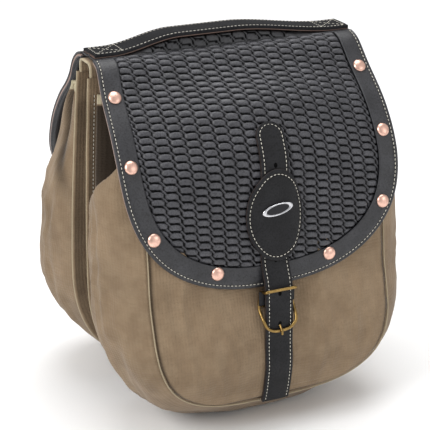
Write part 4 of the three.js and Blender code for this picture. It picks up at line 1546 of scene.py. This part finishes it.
def build_handle_stitches():
    """The rows along both edges of the handle and the crossed box at each foot."""
    bm = bmesh.new()
    edge = HANDLE_WIDTH / 2 * 0.8
    end = HANDLE_HALF_LENGTH - 3.5
    foot = end - HANDLE_FOOT
    for y in (-edge, edge):
        surface_row(bm, on_handle, [(lerp(-end, end, i / 200), y) for i in range(201)], HANDLE_LEATHER - 0.05)
    for sign in (-1, 1):
        box = [((sign * end, -edge), (sign * end, edge)), ((sign * foot, -edge), (sign * foot, edge))]
        box += [((sign * end, -edge), (sign * foot, edge)), ((sign * end, edge), (sign * foot, -edge))]
        for (x0, y0), (x1, y1) in box:
            row = [(lerp(x0, x1, i / 20), lerp(y0, y1, i / 20)) for i in range(21)]
            surface_row(bm, on_handle, row, HANDLE_LEATHER + 0.15)
    stitch_piece("stitches_handle", bm, "bridge")


def build_flange_stitches(side):
    """The row that holds the gusset to the back panel's flange."""
    bm = bmesh.new()
    line = []
    for i in range(201):
        spot = on_outline(inset(BACK_PANEL, 7.4), lerp(0.02, 0.98, i / 200))
        line.append(Vector((spot.x, -(BACK_DEPTH + BACK_CANVAS + 0.15), spot.y)))
    stitch_row(bm, line, lambda point: Vector((0, -1, 0)))
    stitch_piece(f"stitches_flange_{side}", bm, f"pouch_{side}_body", side)


# ---- stage ----
CAMERA_PLACE = (-0.6333, -1.3410, 0.3928)
CAMERA_TARGET = (0.00269, 0.01643, -0.1908)
CAMERA_LENS = 125.58


def add_light(name, place, target, size, power, tint=(1, 1, 1)):
    """A large soft area light aimed at a point."""
    data = bpy.data.lights.new(name, "AREA")
    data.shape, data.size, data.energy, data.color = "DISK", size, power, tint
    lamp = bpy.data.objects.new(name, data)
    lamp.location = place
    lamp.rotation_mode = "QUATERNION"
    lamp.rotation_quaternion = (Vector(place) - Vector(target)).to_track_quat("Z", "Y")
    bpy.context.scene.collection.objects.link(lamp)


def build_stage():
    """A pale floor, soft lights and the camera."""
    scene = bpy.context.scene
    scene.view_settings.view_transform = "Standard"
    bm = bmesh.new()
    bmesh.ops.create_grid(bm, x_segments=2, y_segments=2, size=6)
    for vert in bm.verts:
        vert.co.z = CAD_BOX[0].z - 0.004
    mesh = bpy.data.meshes.new("floor")
    bm.to_mesh(mesh)
    bm.free()
    # Painted studio floor: matt and almost white.
    material, _, shader = start_material("studio_floor_painted", Roughness=0.9)
    shader.inputs["Base Color"].default_value = linear("#F7F7F7")
    mesh.materials.append(material)
    floor = bpy.data.objects.new("floor", mesh)
    scene.collection.objects.link(floor)
    world = bpy.data.worlds.new("studio") if scene.world is None else scene.world
    scene.world = world
    world.use_nodes = True
    world.node_tree.nodes["Background"].inputs["Color"].default_value = (1, 1, 1, 1)
    world.node_tree.nodes["Background"].inputs["Strength"].default_value = 0.66
    middle = (0, 0, -0.15)
    add_light("key", (-2.3, -0.7, 1.5), middle, 1.6, 45)
    add_light("top", (0.3, 0.5, 2.4), middle, 2.4, 52)
    add_light("fill", (1.4, -2.4, 0.9), middle, 1.6, 11)
    camera = bpy.data.objects.new("camera", bpy.data.cameras.new("camera"))
    camera.data.lens = CAMERA_LENS
    camera.data.sensor_width = 36
    camera.location = CAMERA_PLACE
    camera.rotation_mode = "QUATERNION"
    camera.rotation_quaternion = (Vector(CAMERA_PLACE) - Vector(CAMERA_TARGET)).to_track_quat("Z", "Y")
    camera.data.clip_start = 0.05
    scene.collection.objects.link(camera)
    scene.camera = camera


def paint_frame_parts():
    """Gives the frame's own parts that stay in view their finishes."""
    for side in SIDES:
        for node, finish in (
            (f"back_board_{side}", "board"), (f"chape_{side}", "strap"), (f"buckle_bar_{side}", "brass")
        ):
            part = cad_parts[node]
            if not part.material_slots:
                part.data.materials.append(None)
            for slot in part.material_slots:
                slot.material = Finish.get(finish)


# ---- operators ----
def operator(idname, label, doc, work):
    """An operator that builds one piece or group of like pieces."""

    def execute(self, context):
        work()
        return {"FINISHED"}

    return type(
        "SADDLEBAG_OT_" + idname,
        (bpy.types.Operator,),
        {"bl_idname": "saddlebag." + idname, "bl_label": label, "__doc__": doc, "execute": execute},
    )


def both(*builders):
    """Runs builders for both sides of the bag."""

    def work():
        for side in SIDES:
            for builder in builders:
                builder(side)

    return work


OPERATORS = (
    operator("stage", "Stage", "Makes the floor, the lights and the camera", build_stage),
    operator("bridge", "Canvas bridge", "Makes the canvas arch that crosses the rack", build_bridge),
    operator("back_panels", "Back panels", "Makes the flat canvas panels", both(build_back_panel)),
    operator("gussets", "Gussets", "Makes the full canvas sides of both pouches", both(build_gusset)),
    operator(
        "face_panels",
        "Face panels",
        "Makes the canvas faces and their welts",
        both(build_face_panel, build_welt),
    ),
    operator(
        "ridge",
        "Ridge and handle",
        "Makes the leather ridge and the handle",
        lambda: (build_ridge(), build_handle()),
    ),
    operator("flaps", "Flaps", "Makes the embossed flaps, rims and linings",
             both(build_flap_weave, build_flap_core, build_flap_lining)),
    operator("borders", "Borders", "Makes the smooth strips round the flaps", both(build_flap_border)),
    operator("rivets", "Rivets", "Makes the domed copper caps", both(build_rivets)),
    operator(
        "patches", "Patches", "Makes the oval keeper patches and badges", both(build_patch, build_badge)
    ),
    operator("straps", "Straps", "Makes the punched straps", both(build_strap)),
    operator("buckles", "Buckles", "Makes the brass buckle frames and prongs", both(build_buckle)),
    operator("stitching", "Stitching", "Sews every row of stitches",
             lambda: (
                 both(build_flap_stitches, build_strap_stitches, build_flange_stitches)(),
                 build_handle_stitches(),
             )),
    operator(
        "frame_parts", "Frame parts", "Paints the frame's own parts that stay in view", paint_frame_parts
    ),
)  # fmt: skip


class SADDLEBAG_PT_panel(bpy.types.Panel):
    """Lists the saddle bag's pieces, sizes and colours."""

    bl_label = "Saddle Bag"
    bl_space_type = "VIEW_3D"
    bl_region_type = "UI"
    bl_category = "Saddle Bag"

    def draw(self, context):
        """Draws a button for each operator and a field for each size and colour."""
        layout = self.layout
        for item in OPERATORS:
            layout.operator(item.bl_idname)
        for group in (context.scene.saddle_bag_sizes, context.scene.saddle_bag_colours):
            for key in group.__annotations__:
                layout.prop(group, key)


CLASSES = (BagSizes, BagColours, *OPERATORS, SADDLEBAG_PT_panel)


def register():
    """Registers the classes and the scene's properties."""
    for item in CLASSES:
        bpy.utils.register_class(item)
    bpy.types.Scene.saddle_bag_sizes = PointerProperty(type=BagSizes)
    bpy.types.Scene.saddle_bag_colours = PointerProperty(type=BagColours)


def unregister():
    """Removes the properties and the classes."""
    del bpy.types.Scene.saddle_bag_sizes
    del bpy.types.Scene.saddle_bag_colours
    for item in reversed(CLASSES):
        bpy.utils.unregister_class(item)


def main():
    """Builds the bag and writes its box beside the frame's."""
    register()
    for item in OPERATORS:
        name = item.bl_idname.split(".")[1]
        if getattr(bpy.ops.saddlebag, name)() != {"FINISHED"}:
            raise RuntimeError(f"{item.bl_label} was not finished")


if __name__ == "__main__":
    main()
